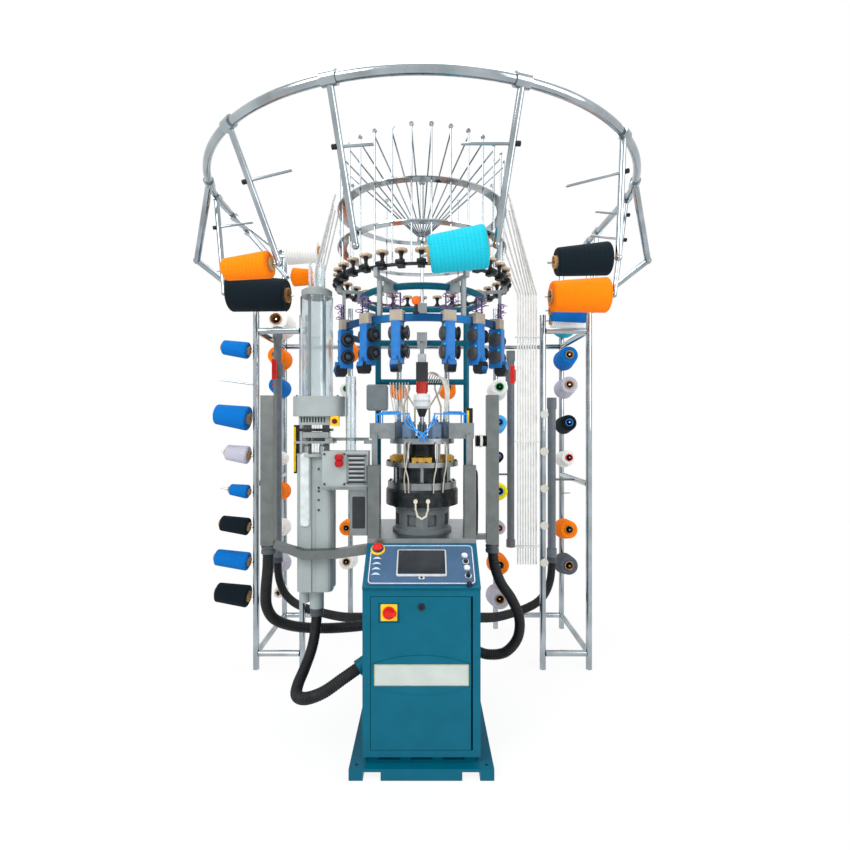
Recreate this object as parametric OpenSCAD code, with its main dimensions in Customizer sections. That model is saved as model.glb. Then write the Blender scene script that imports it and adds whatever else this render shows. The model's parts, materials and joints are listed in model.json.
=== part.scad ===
// Single-cylinder circular sock knitting machine with its creel.
// Millimetres, +Z up. X = 0 is the centre plane, the knitting axis is X = Y = 0,
// the operator stands at -Y and the floor is Z = 0.

/* [Base] */
// Width of the sled
base_w = 574; // [540:1:640]
// Depth of the sled
base_d = 800; // [760:1:900]
// Height of the sled
base_h = 46; // [36:1:60]
// Thickness of the sled's top plate
base_top = 12; // [8:1:16]
// Width of each forklift pocket
pocket_w = 70; // [60:1:80]
// Distance of the anchor holes from the sled's edges
anchor_inset = 28; // [24:1:36]
// Diameter of the anchor holes
anchor_d = 14; // [10:1:18]
// Height of the plinth under the cabinet
plinth_h = 28; // [20:1:40]
// Inset of the plinth behind the cabinet's faces
plinth_inset = 20; // [10:1:30]

/* [Cabinet] */
// Width of the cabinet
cab_w = 472; // [440:1:500]
// Distance of the cabinet's front face from the knitting axis
cab_front = 370; // [350:1:380]
// Distance of the cabinet's rear face from the knitting axis
cab_back = 270; // [250:1:330]
// Height of the front face above the floor
cab_front_z = 754; // [730:1:770]
// Height of the cabinet's top above the floor
cab_top_z = 889; // [870:1:920]
// Distance of the console's upper edge from the knitting axis
console_top_y = 197; // [190:1:210]
// Overhang of the console's lower lip
lip = 15; // [8:1:20]
// Wall of the cabinet
cab_wall = 4; // [3:0.5:6]
// Width of the door
door_w = 406; // [380:1:410]
// Height of the door
door_h = 611; // [560:1:620]
// Lower edge of the door above the floor
door_z = 103; // [98:1:115]
// Thickness of the door
door_t = 18; // [14:1:22]
// Groove round the door
door_gap = 2; // [1.5:0.5:4]
// Length of the blank name plate
plate_w = 378; // [300:1:390]
// Height of the blank name plate
plate_h = 86; // [60:1:100]

/* [Console] */
// Width of the inset panel
panel_w = 440; // [420:1:444]
// Height of the inset panel along the slope
panel_h = 206; // [200:1:212]
// Thickness of the inset panel
panel_t = 5; // [3:0.5:8]
// Width of the screen's frame
screen_w = 206; // [180:1:230]
// Height of the screen's frame
screen_h = 138; // [120:1:145]
// Diameter of the emergency stop's mushroom
stop_d = 40; // [34:1:44]
// Diameter of the round push buttons
button_d = 20; // [16:1:22]

/* [Knitting unit] */
// Thickness of the machine bed
bed_t = 20; // [14:1:26]
// Side of each square column
column_w = 54; // [46:1:56]
// Height of the columns above the bed
column_h = 315; // [300:1:330]
// Radius of the cast drum
drum_r = 124; // [110:1:130]
// Height of the cast drum
drum_h = 126; // [110:1:140]
// Radius of the black cam housing
cam_r = 168; // [155:1:172]
// Height of the black cam housing
cam_h = 76; // [60:1:90]
// Radius of the needle cylinder
needle_r = 62; // [55:1:66]
// Number of needle slots round the cylinder
needle_n = 48; // [36:4:60]
// Running clearance of turning pieces
run_fit = 0.5; // [0.3:0.1:1]

/* [Yarn rings] */
// Diameter of the teal frame's tube
frame_d = 29; // [24:1:32]
// Radius of the frame's front arc
frame_r = 280; // [275:1:290]
// Height of the frame's upper ring
frame_z = 1980; // [1950:1:2000]
// Radius of the blue feeder ring
feed_r = 370; // [360:1:380]
// Height of the blue feeder ring
feed_z = 1830; // [1815:1:1845]
// Radius of the yarn brake ring
brake_r = 386; // [376:1:400]
// Height of the yarn brake ring
brake_z = 2040; // [2030:1:2060]
// Number of yarn brakes
brake_n = 30; // [24:2:36]
// Width of the flat chrome guide rings
guide_w = 44; // [36:1:50]
// Height of the lower guide ring
guide_z1 = 2210; // [2180:1:2240]
// Height of the upper guide ring
guide_z2 = 2380; // [2350:1:2410]

/* [Feeders] */
// Height of a feeder's body
feeder_h = 168; // [160:1:180]
// Width of a feeder's body
feeder_w = 62; // [58:1:66]
// Thickness of a feeder's body
feeder_t = 40; // [34:1:46]
// Diameter of a feeder's wheels
wheel_d = 58; // [50:1:62]
// Thickness of a feeder's wheels
wheel_t = 22; // [18:1:26]

/* [Creel] */
// Diameter of the creel's tubes
tube_d = 35; // [30:1:38]
// Distance of the outer posts from the centre plane
creel_x = 955; // [930:1:980]
// Distance of the front posts behind the knitting axis
creel_y1 = 540; // [520:1:560]
// Distance of the rear posts behind the knitting axis
creel_y2 = 1140; // [1120:1:1160]
// Height of the front posts
creel_front_z = 2030; // [2000:1:2050]
// Height of the hoop
hoop_z = 2560; // [2520:1:2600]
// Radius of the hoop's front arc
hoop_r = 1050; // [1020:1:1080]
// Distance of the hoop's centre behind the knitting axis
hoop_y = 300; // [280:1:320]
// Diameter of the package pins
pin_d = 10; // [8:1:12]
// Length of the package pins
pin_l = 205; // [195:1:230]

/* [Sock turner and air] */
// Distance of the sock turner from the centre plane
turner_x = 485; // [478:1:495]
// Diameter of the turner's clear tube
clear_d = 148; // [140:1:150]
// Wall of the clear tube
clear_wall = 4; // [3:0.5:6]
// Side of the square suction ducts
duct_w = 56; // [50:1:60]
// Diameter of the air hoses
hose_d = 50; // [44:1:52]
// Diameter of the plastic pipes
pipe_d = 50; // [44:1:56]

/* [Hidden] */
$fn = 48;
// Clearance of pieces that rest on or in each other, and of pivots
fit = 0.3;
pivot_fit = 0.1;
teal = "#0f7c93";
grey = "#9aa0a4";
dark = "#24272a";
chrome = "#d5dade";

// Cabinet and console
cab_z = base_h + plinth_h;
slope_y = cab_front + lip - console_top_y;
slope_z = cab_top_z - cab_front_z;
slope = atan2(slope_z, slope_y);
slope_l = norm([slope_y, slope_z]);
// The door's raised lens, and the pivot that lets it clear the wall
lens_h = 3;
door_axis = [door_w / 2 - door_t / 2 - lens_h, -cab_front + door_t / 2];
switch_pos = [-130, 650];
lock_pos = [0, door_z + door_h - 40];
pivot_d = 8;
lock_d = 18;
port_d = hose_d + 14;
port_l = 95;
// Console controls as [across, up the slope]
stop_pos = [-186, 192];
start_pos = [180, 160];
halt_pos = [183, 128];
aux_pos = [186, 96];
key_pos = [189, 56];
press = 3;

// Knitting unit, from the bed upwards
bed_top = cab_top_z + bed_t;
column_x = cab_w / 2 - column_w / 2;
column_y = console_top_y - column_w / 2;
drum_top = bed_top + drum_h;
cam_top = drum_top + cam_h;
plate_t = 30;
gap_h = 70;
ring_z = cam_top + plate_t + gap_h;
ring_t = 22;
head_z = ring_z + ring_t + 82;
head_t = 24;
head_top = head_z + head_t;
needle_top = head_top + 2;
head_r = 150;
unit_r = head_r - 35;
unit_a = [-140, -100, -62, -30, 30, 62, 100, 140, 180];
sel_h = 70;
needle_bore = needle_r + run_fit;

// Tube frame and dial head
post_x = cab_w / 2 - frame_d / 2;
post_y = sqrt(pow(frame_r, 2) - pow(post_x, 2));
frame_a = atan2(post_y, post_x);
cross_z = [1616, 1812];
rod_d = 20;
arm_z = cross_z[1] - 20;
lift = 40;
dial_z = needle_top + 2;
dial_r = needle_r - 4;
dial_d = 20;
tip_z = head_top + 100;
tip_h = 36;
house_h = 70;
cap_z = tip_z + tip_h + house_h;
cap_h = 56;
box_z = cap_z + cap_h;
box_h = 92;
fitting_h = 40;
rod_z = tip_z + tip_h + lift + 15;

// Yarn rings
bar_w = 12;
bar_h = 30;
clamp_w = 44;
hanger_a = [-76, -28, 28, 76];
brake_w = 20;
brake_t = 8;
brake_h = 22;
stem_h = 24;
rod_r = brake_r - 5;
guide_r = rod_r - 10;
guide_rod_d = 7;
guide_a = [for (k = [-7 : 6]) 6 + 12 * k];
guide_back_a = [114, 150, 210, 246];
guide_top = 2590;
mast_top = 2610;

// Feeders round the front of the ring, measured from -Y
feeder_a = [-65, -37, -15, 17, 38, 62];
feeder_top = feed_z - bar_h / 2;
wheel_drop = [46, 120];
axle_d = 8;
sensor_w = 34;
sensor_h = 36;
block_w = 52;
block_h = 14;
post_h = 64;

// Creel: [x, y, height] of the posts
mid_x = 690;
back_x = 500;
inner_x = 165;
back_z = 2200;
rail_z = 90;
high_rail_z = creel_front_z - 90;
POSTS = [for (s = [-1, 1]) each [
    [s * creel_x, creel_y1, creel_front_z],
    [s * mid_x, creel_y1, creel_front_z],
    [s * creel_x, creel_y2, hoop_z - tube_d / 2 - fit],
    [s * back_x, creel_y2, back_z],
    [s * inner_x, creel_y2, back_z]]];

// Hoop arms: [turn on the arc from -Y, lean inwards, turn of the pin, tilt of the pin, package]
// Packages: [length, big radius, small radius, colour]
orange = "#f2761c";
blue = "#1f5fae";
white = "#e8e6e1";
black = "#1b1c20";
cyan = "#45c6bf";
lilac = "#a9a6b4";
ARMS = [
    [-17, 210, 0, 0, undef],
    [-45, 215, 172, -4, [205, 56, 46, orange]],
    [-84, 40, -4, -3, [290, 92, 80, black]],
    [19, 190, 178, -8, [215, 80, 70, cyan]],
    [50, 20, 180, -4, [215, 66, 56, black]],
    [86, 60, 182, -2, [290, 90, 78, orange]]];
// Arms on the hoop's straight sides: [side, y, lean inwards, drop, package]
SIDE_ARMS = [
    [-1, 430, 260, 200, [180, 72, 60, white]],
    [-1, 650, 240, 280, [115, 54, 46, orange]],
    [1, 690, 20, 470, [220, 74, 64, blue]],
    [1, 850, 0, 500, [200, 66, 56, white]]];
strut_a = 76;
arm_d = 26;
arm_z_end = 2070;
// Pins on the posts: [post, height, turn, tilt, package or undef]
PINS = concat(
    [for (p = [[1820, [150, 48, 42, blue]], [1630, undef], [1430, [190, 70, 58, blue]],
        [1220, [130, 52, 44, lilac]], [1010, [110, 40, 32, blue]], [810, [160, 50, 44, black]],
        [610, [190, 52, 46, blue]], [410, [185, 62, 54, black]]]) [0, p[0], 180, 8, p[1]]],
    [for (p = [[2060, [170, 95, 80, white]], [1830, [160, 70, 58, orange]], [1635, [160, 62, 52, blue]],
        [1165, [150, 46, 40, white]], [945, [150, 60, 50, orange]], [700, [150, 60, 52, white]],
        [460, [150, 62, 54, lilac]], [270, [120, 42, 34, white]]]) [2, p[0], -90, 8, p[1]]],
    [for (p = [[2070, [170, 90, 78, cyan]], [1830, [160, 70, 58, blue]], [1635, [160, 66, 56, lilac]],
        [1390, [150, 60, 52, black]], [1160, [150, 56, 48, white]], [930, undef],
        [690, [150, 68, 58, orange]], [455, [150, 70, 60, lilac]]]) [7, p[0], -90, 8, p[1]]],
    [for (p = [[1880, [150, 70, 60, orange]], [1610, [150, 52, 44, white]], [700, [150, 56, 48, orange]],
        [480, [150, 60, 50, white]]]) [3, p[0], -90, 8, p[1]]],
    [for (p = [[1620, [160, 66, 56, white]], [1390, [160, 60, 50, cyan]], [1170, [120, 40, 34, black]],
        [940, [160, 64, 54, orange]], [700, [150, 50, 42, lilac]], [460, [180, 70, 60, orange]],
        [240, [180, 74, 64, lilac]]]) [8, p[0], -90, 8, p[1]]],
    [for (q = [4, 9], p = [[1880, [150, 62, 52, white]], [1620, [150, 58, 50, orange]]])
        [q, p[0], -90, 8, p[1]]]);
pin_start = tube_d / 2 + fit;
core_r = 16;
package_gap = 24;

// Yarn tubes beside the mid posts
yarn_tube_d = 9;
yarn_tube_n = [5, 8];
tube_pitch = 15;

// Sock turner
turner_y = -45;
turner_w = 160;
turner_z0 = 650;
turner_z1 = 1270;
turner_h1 = 1440;
turner_h2 = 1530;
clear_z2 = 1986;
box_low = 1130;
box_high = 1285;

// Ducts: [x, y, lower end, upper end]
DUCTS = [[-680, -140, 872, 1530], [330, 0, 844, 1540]];
duct_socket = 6;
// Pipes as [x, y, lower end, upper end, x of the tube that carries the clip]
clip_z = 1060;
clip_d = 14;
PIPES = [[-905, 800, 580, 2000, -creel_x], [605, creel_y2, 560, high_rail_z - 40, back_x],
    [805, 800, 580, 1560, creel_x]];

// Routes of the free hoses, from their port to their far end
ROUTE_TURNER = [[-485, -45, 560], [-488, -55, 470], [-500, -85, 385], [-520, -140, 320], [-532, -210, 285],
    [-520, -280, 275], [-470, -335, 290], [-395, -355, 325], [-320, -342, 372], [-262, -316, 403]];
ROUTE_LEFT = [[-680, -140, 866], [-684, -135, 765], [-698, -115, 665], [-708, -75, 575], [-690, -25, 500],
    [-635, 15, 455], [-555, 40, 432], [-460, 50, 425], [-355, 46, 432], [-248, 40, 445]];
ROUTE_RIGHT = [[330, 0, 838], [340, 2, 745], [372, 8, 655], [425, 15, 575], [462, 24, 480], [455, 34, 385],
    [400, 42, 315], [320, 48, 300], [252, 50, 319]];
ROUTE_BACK_LEFT = [[-905, 800, 580], [-903, 798, 500], [-888, 788, 425], [-850, 766, 360], [-790, 734, 318],
    [-715, 690, 300], [-635, 635, 298], [-560, 572, 305], [-488, 502, 318], [-424, 428, 338], [-368, 356, 362],
    [-316, 294, 385], [-268, 242, 404]];
ROUTE_BACK_RIGHT = [[805, 800, 580], [803, 798, 500], [790, 788, 425], [756, 766, 360], [702, 734, 318],
    [636, 690, 300], [570, 635, 298], [508, 572, 305], [450, 502, 318], [398, 428, 338], [352, 356, 362],
    [308, 294, 385], [268, 244, 403]];
// Angled ports in the cabinet's sides where the hoses end: [end of the hose, direction into the cabinet]
PORTS = [for (r = [ROUTE_TURNER, ROUTE_LEFT, ROUTE_RIGHT, ROUTE_BACK_LEFT, ROUTE_BACK_RIGHT])
    [r[len(r) - 1], unit(r[len(r) - 1] - r[len(r) - 2])]];

// Rounded rectangle as a polygon
function round_rect(w, h, r, n = 5) = [for (c = [[1, 1, 0], [-1, 1, 90], [-1, -1, 180], [1, -1, 270]],
    k = [0 : n])
    [c[0] * (w / 2 - r) + r * cos(c[2] + 90 * k / n), c[1] * (h / 2 - r) + r * sin(c[2] + 90 * k / n)]];

// Straight round bar from a to b
module bar(a, b, d) {
    v = b - a;
    translate(a)
        rotate([0, acos(v.z / norm(v)), atan2(v.y, v.x)])
            cylinder(d = d, h = norm(v));
}

// Round bar through several points, with a ball elbow at each bend
module bent_bar(points, d, elbow = 2) {
    for (k = [1 : len(points) - 1])
        bar(points[k - 1], points[k], d);
    for (k = [1 : len(points) - 2])
        translate(points[k]) sphere(d = d + elbow);
}

// Flat ring
module ring(r_out, r_in, h) {
    difference() {
        cylinder(r = r_out, h = h, $fn = 96);
        translate([0, 0, -1]) cylinder(r = r_in, h = h + 2, $fn = 96);
    }
}

// Place on the front of a ring: local -Y points outwards
module around(a, r, z) {
    rotate([0, 0, a]) translate([0, -r, z]) children();
}

// Place along a direction: local +Z points along turn and tilt
module along(p, turn, tilt) {
    translate(p) rotate([0, 0, turn]) rotate([0, 90 - tilt, 0]) children();
}

// Place on the console's slope: local +Y runs up it and +Z points out of it
module on_slope(u, v) {
    translate([0, -cab_front - lip, cab_front_z])
        rotate([slope, 0, 0])
            translate([u, v, 0]) children();
}

// Hose swept along a route, one closed polyhedron
function unit(v) = v / norm(v);
module hose(route, d, sides = 10) {
    n = len(route);
    // The hose leaves its upper end straight down
    tangents = [for (k = [0 : n - 1])
        k == 0 ? [0, 0, -1] : unit(route[min(k + 1, n - 1)] - route[k - 1])];
    across = [for (t = tangents) unit(cross(t, [0.31, 0.9, 0.3]))];
    rings = [for (k = [0 : n - 1], j = [0 : sides - 1])
        route[k] + d / 2 * (cos(360 * j / sides) * across[k]
            + sin(360 * j / sides) * cross(tangents[k], across[k]))];
    walls = [for (k = [0 : n - 2], j = [0 : sides - 1]) each [
        [k * sides + j, k * sides + (j + 1) % sides, (k + 1) * sides + j],
        [k * sides + (j + 1) % sides, (k + 1) * sides + (j + 1) % sides, (k + 1) * sides + j]]];
    ends = [[for (j = [sides - 1 : -1 : 0]) j], [for (j = [0 : sides - 1]) (n - 1) * sides + j]];
    color(dark) polyhedron(rings, concat(ends, walls), convexity = 10);
}

// Stand

module base_sled() {
    color(teal)
    difference() {
        union() {
            translate([-base_w / 2, -base_d / 2, 0]) cube([base_w, base_d, base_h]);
            translate([-cab_w / 2 + plinth_inset, -cab_front + plinth_inset, 0])
                cube([cab_w - 2 * plinth_inset, cab_front + cab_back - 2 * plinth_inset, cab_z]);
        }
        for (s = [-1, 1])
            translate([s * (base_w / 2 - 2 * anchor_inset - pocket_w / 2) - pocket_w / 2, -base_d, -1])
                cube([pocket_w, 2 * base_d, base_h - base_top + 1]);
        for (s = [-1, 1], t = [-1, 1])
            translate([s * (base_w / 2 - anchor_inset), t * (base_d / 2 - anchor_inset), -1])
                cylinder(d = anchor_d, h = base_h + 2);
        // Tapered vents in the plinth's front
        for (u = [-1, 0, 1])
            translate([u * 130, -cab_front + plinth_inset + 10, base_h])
                rotate([90, 0, 0])
                    linear_extrude(20) polygon([[-45, 6], [45, 6], [36, plinth_h - 4], [-36, plinth_h - 4]]);
    }
}

module cabinet_profile(w) {
    polygon([[-cab_front + w, cab_z + w], [-cab_front + w, cab_front_z - lip - w],
        [-cab_front - lip * (w > 0 ? -0.5 : 1), cab_front_z - w], [-console_top_y + w / 3, cab_top_z - w],
        [cab_back - w, cab_top_z - w], [cab_back - w, cab_z + w]]);
}

module cabinet_block(w) {
    translate([-cab_w / 2 + w, 0, 0])
        rotate([90, 0, 90]) linear_extrude(cab_w - 2 * w) cabinet_profile(w);
}

module cabinet_shell() {
    hinge_h = 18;
    color(teal) {
        difference() {
            union() {
                cabinet_block(0);
                // Ports of the hoses, flush with the wall inside
                for (p = PORTS)
                    along(p[0] + fit * p[1], atan2(p[1].y, p[1].x), asin(p[1].z)) cylinder(d = port_d, h = port_l);
            }
            cabinet_block(cab_wall);
            translate([-door_w / 2 - door_gap, -cab_front - 1, door_z - door_gap])
                cube([door_w + 2 * door_gap, cab_wall + 2, door_h + 2 * door_gap]);
            // Louvres in the right side
            for (k = [0 : 7])
                translate([cab_w / 2 - cab_wall - 1, -330, 420 + 30 * k]) cube([cab_wall + 2, 90, 9]);
        }
        // Pivot blocks above and below the door
        for (t = [0, 1])
            translate([door_axis.x, door_axis.y, t == 0 ? door_z - door_gap : door_z + door_h + door_gap])
                mirror([0, 0, 1 - t]) {
                    translate([-10, -door_axis.y - cab_front + cab_wall - 1, 0])
                        cube([20, 20, hinge_h]);
                    translate([0, 0, -10 - door_gap]) cylinder(d = pivot_d, h = 11 + door_gap);
                }
    }
}

module electrical_plate() {
    plate_x = cab_w - 2 * cab_wall - 40;
    plate_z0 = cab_z + 60;
    plate_z1 = cab_front_z - 40;
    y1 = cab_back - cab_wall;
    color("#c9ccce") {
        translate([-plate_x / 2, y1 - 34, plate_z0]) cube([plate_x, 3, plate_z1 - plate_z0]);
        for (s = [-1, 1], z = [plate_z0 + 30, plate_z1 - 30])
            translate([s * (plate_x / 2 - 25), y1 - 32, z]) rotate([-90, 0, 0]) cylinder(d = 16, h = 32);
        // Drive, power supply and terminal rows
        translate([-160, y1 - 150, plate_z1 - 260]) cube([120, 118, 230]);
        translate([-10, y1 - 120, plate_z1 - 200]) cube([150, 88, 160]);
        for (k = [0 : 1])
            translate([-160, y1 - 80, plate_z0 + 60 + 110 * k]) cube([320, 48, 55]);
    }
}

module door_hole(d, x, z) {
    translate([x, -cab_front - 1, z]) rotate([-90, 0, 0]) cylinder(d = d, h = door_t + 60);
}

module cabinet_door() {
    y0 = -cab_front;
    lens_w = door_w - 10;
    lens_r = 560;
    color(teal)
    difference() {
        union() {
            translate([-door_w / 2, y0, door_z]) cube([door_w / 2 + door_axis.x, door_t, door_h]);
            translate([door_axis.x, door_axis.y, door_z]) cylinder(d = door_t, h = door_h);
            // Shallow lens round the plate's seat
            translate([0, y0 + 1, door_z + 300])
                rotate([90, 0, 0])
                    linear_extrude(lens_h + 1)
                        intersection() {
                            translate([0, lens_r - 78]) circle(r = lens_r, $fn = 120);
                            translate([0, 78 - lens_r]) circle(r = lens_r, $fn = 120);
                            square([lens_w, 400], center = true);
                        }
            // Switch body behind the door
            translate([switch_pos.x - 35, y0 + door_t - 1, switch_pos.y - 35]) cube([70, 56, 70]);
        }
        translate([switch_pos.x - 42, y0 - 1, switch_pos.y - 40]) cube([84, 5, 80]);
        // Seat of the name plate
        translate([-plate_w / 2, y0 - lens_h - 1, door_z + 300 - plate_h / 2]) cube([plate_w, 2.5, plate_h]);
        door_hole(pivot_d + 2 * pivot_fit, switch_pos.x, switch_pos.y);
        door_hole(lock_d + 2 * pivot_fit, lock_pos.x, lock_pos.y);
        for (t = [0, 1])
            translate([door_axis.x, door_axis.y, t == 0 ? door_z - 1 : door_z + door_h - 12])
                cylinder(d = pivot_d + 2 * pivot_fit, h = 13);
    }
}

module door_lock() {
    color(dark)
    translate([lock_pos.x, -cab_front, lock_pos.y])
        rotate([-90, 0, 0])
            difference() {
                union() {
                    translate([0, 0, -4]) cylinder(d = lock_d + 10, h = 4 - fit);
                    translate([0, 0, -4]) cylinder(d = lock_d, h = door_t + 12);
                    translate([-8, -28, door_t + fit]) cube([16, 30, 5]);
                }
                translate([-1.5, -6, -5]) cube([3, 12, 6]);
            }
}

module main_switch() {
    color("#d4231c")
    translate([switch_pos.x, -cab_front + 4, switch_pos.y])
        rotate([90, 0, 0]) {
            translate([0, 0, fit]) cylinder(d = 50, h = 9);
            translate([-8, -8, 8]) cube([38, 16, 16]);
            translate([0, 0, 8]) cylinder(d = 30, h = 14);
            translate([0, 0, -38]) cylinder(d = pivot_d, h = 40);
        }
}

// Console

module console_panel() {
    color("#5f7f9b")
    difference() {
        union() {
            on_slope(0, slope_l / 2) linear_extrude(panel_t) polygon(round_rect(panel_w, panel_h, 18));
            on_slope(stop_pos.x, stop_pos.y) cylinder(d = stop_d + 8, h = panel_t + 6);
            // Four membrane keys
            for (k = [0 : 3])
                on_slope(stop_pos.x, 62 + 27 * k) cylinder(d = 18, h = panel_t + 1);
        }
        on_slope(0, slope_l / 2 + 4) translate([0, 0, panel_t - 3])
            linear_extrude(10) polygon(round_rect(screen_w + 2 * fit, screen_h + 2 * fit, 8));
        on_slope(stop_pos.x, stop_pos.y) translate([0, 0, -1]) cylinder(d = 16 + 2 * fit, h = 20);
        for (p = [start_pos, halt_pos, aux_pos, key_pos])
            on_slope(p.x, p.y) translate([0, 0, -1]) cylinder(d = button_d + 2 * fit, h = 20);
    }
}

module touch_screen() {
    color("#b9bec2")
    on_slope(0, slope_l / 2 + 4) translate([0, 0, panel_t - 3])
        difference() {
            linear_extrude(7) polygon(round_rect(screen_w, screen_h, 8));
            translate([0, 4, 5.5]) linear_extrude(5) polygon(round_rect(screen_w - 22, screen_h - 26, 3));
        }
}

module emergency_stop() {
    color("#d4231c")
    on_slope(stop_pos.x, stop_pos.y) {
        translate([0, 0, press + 2 + 2 * fit]) cylinder(d = 16, h = 14);
        translate([0, 0, panel_t + 6 + press + 2 + fit])
            rotate_extrude() polygon([[0, 0], [stop_d / 2 - 3, 0], [stop_d / 2, 4], [stop_d / 2, 9],
                [stop_d / 2 - 4, 13], [stop_d / 4, 15], [0, 15.5]]);
    }
}

module push_button(p, c) {
    color(c)
    on_slope(p.x, p.y)
        translate([0, 0, press + fit])
            rotate_extrude() polygon([[0, 0], [button_d / 2, 0], [button_d / 2, panel_t + 2],
                [button_d / 2 - 2, panel_t + 3], [0, panel_t + 3]]);
}

module start_button() { push_button(start_pos, "#e9e9e6"); }
module stop_button() { push_button(halt_pos, dark); }
module aux_button() { push_button(aux_pos, "#e9e9e6"); }

module key_switch() {
    color(dark)
    on_slope(key_pos.x, key_pos.y) translate([0, 0, fit]) {
        cylinder(d = button_d, h = panel_t + 6);
        translate([-3, -button_d / 2 + 2, panel_t + 5]) cube([6, button_d - 4, 10]);
    }
}

// Knitting unit

module machine_bed() {
    color("#b4b9bc")
    translate([-cab_w / 2, -console_top_y, cab_top_z]) cube([cab_w, console_top_y + cab_back, bed_t]);
}

module side_columns() {
    color("#c3c7ca")
    for (s = [-1, 1])
        translate([s * column_x, -column_y, bed_top])
            linear_extrude(column_h) polygon(round_rect(column_w, column_w, 6, 3));
}

module cylinder_drum() {
    color("#8b9094")
    translate([0, 0, bed_top])
    difference() {
        rotate_extrude($fn = 96)
            polygon([[40, 0], [drum_r + 14, 0], [drum_r + 14, 12], [drum_r, 20], [drum_r, drum_h - 22],
                [drum_r + 12, drum_h - 12], [drum_r + 12, drum_h], [40, drum_h]]);
        // Windows between the ribs
        for (a = [0 : 45 : 315])
            rotate([0, 0, a + 22.5])
                translate([-22, -drum_r - 5, 34]) cube([44, 25, drum_h - 74]);
    }
}

module cam_housing() {
    color("#2b2e31") {
        translate([0, 0, drum_top])
            rotate_extrude($fn = 96)
                polygon([[45, 0], [cam_r, 0], [cam_r, cam_h - 10], [cam_r - 6, cam_h], [needle_bore, cam_h],
                    [needle_bore, 10], [45, 10]]);
        translate([0, 0, cam_top + plate_t]) ring(108, needle_bore, gap_h);
    }
}

module cam_plates() {
    post_r = 138;
    color("#a9aeb1") {
        translate([0, 0, cam_top]) ring(cam_r - 8, needle_bore, plate_t);
        for (a = [30 : 60 : 330])
            rotate([0, 0, a]) translate([post_r, 0, cam_top + plate_t + fit]) cylinder(d = 20, h = gap_h - 2 * fit);
        translate([0, 0, ring_z]) ring(cam_r, needle_bore, ring_t);
        for (a = [45 : 90 : 315])
            rotate([0, 0, a]) translate([post_r - 30, 0, ring_z + ring_t + fit])
                cylinder(d = 16, h = head_z - ring_z - ring_t - 2 * fit);
        translate([0, 0, head_z]) ring(head_r, needle_bore + 1, head_t);
    }
}

module cam_blocks() {
    color("#b08d45")
    translate([0, 0, ring_z + ring_t])
        for (a = [0, 90, 180, 270])
            rotate([0, 0, a - 17])
                rotate_extrude(angle = 34, $fn = 96)
                    polygon([[needle_r + 14, 0], [cam_r - 16, 0], [cam_r - 16, 22], [cam_r - 30, 30],
                        [needle_r + 14, 30]]);
}

module needle_cylinder() {
    z0 = drum_top + 10 + fit;
    color("#33363a")
    difference() {
        translate([0, 0, z0]) ring(needle_r, needle_r - 10, needle_top - z0);
        for (k = [0 : needle_n - 1])
            rotate([0, 0, 360 * k / needle_n])
                translate([needle_r - 3, -1.2, ring_z + ring_t + 34]) cube([6, 2.4, needle_top - ring_z - ring_t]);
    }
}

module actuator_blocks() {
    color("#5b7389")
    for (a = unit_a)
        around(a, unit_r, head_top) {
            translate([-23, -20, 0]) cube([46, 40, 64]);
            translate([-17, -14, 63]) cube([34, 28, 13]);
            translate([0, 0, 70]) cylinder(d = 12, h = 18);
        }
}

module selector_boxes() {
    sel_w = 112;
    sel_d = 70;
    color("#54585c")
    for (s = [-1, 1]) {
        translate([s * (column_x - 32), -column_y + 62, head_top])
            linear_extrude(sel_h)
                polygon([[-sel_w / 2, -sel_d / 4], [-sel_w / 4, -sel_d / 2], [sel_w / 4, -sel_d / 2],
                    [sel_w / 2, -sel_d / 4], [sel_w / 2, sel_d / 4], [sel_w / 4, sel_d / 2],
                    [-sel_w / 4, sel_d / 2], [-sel_w / 2, sel_d / 4]]);
        // Bracket that stands on the column
        translate([s * column_x - 12, -column_y + column_w / 2 - 14, bed_top + column_h])
            cube([24, 20, head_top - bed_top - column_h + 20]);
    }
}

module dial_head() {
    difference() {
        union() {
            color(dark) translate([0, 0, tip_z]) cylinder(r1 = 14, r2 = 26, h = tip_h);
            color("#d9dbdc") translate([0, 0, tip_z + tip_h])
                rotate_extrude()
                    polygon([[0, -1], [30, -1], [40, 12], [40, house_h - 8], [34, house_h], [0, house_h]]);
            color("#c8281f") translate([0, 0, cap_z - 1]) {
                cylinder(r = 24, h = cap_h + 2);
                for (a = [0 : 30 : 330])
                    rotate([0, 0, a]) translate([22, -2, 10]) cube([6, 4, cap_h - 16]);
            }
            color(dark) translate([-28, -28, box_z]) cube([56, 56, box_h]);
            color(chrome) translate([0, 0, box_z + box_h - 1]) cylinder(r = 20, h = fitting_h + 1);
        }
        translate([0, 0, rod_z - lift - 10])
            cylinder(d = rod_d + 2 * pivot_fit, h = box_z + box_h + fitting_h - rod_z + lift + 20);
        translate([0, 0, tip_z - 1]) cylinder(d = dial_d + 2 * pivot_fit, h = 31);
    }
}

module dial() {
    color(chrome) {
        difference() {
            translate([0, 0, dial_z]) cylinder(r = dial_r, h = 8, $fn = 72);
            for (k = [0 : 23])
                rotate([0, 0, 15 * k]) translate([dial_r - 14, -1.2, dial_z + 5]) cube([20, 2.4, 5]);
        }
        translate([0, 0, dial_z + 7]) cylinder(d = dial_d, h = tip_z + 28 - dial_z - 7);
    }
}

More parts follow.
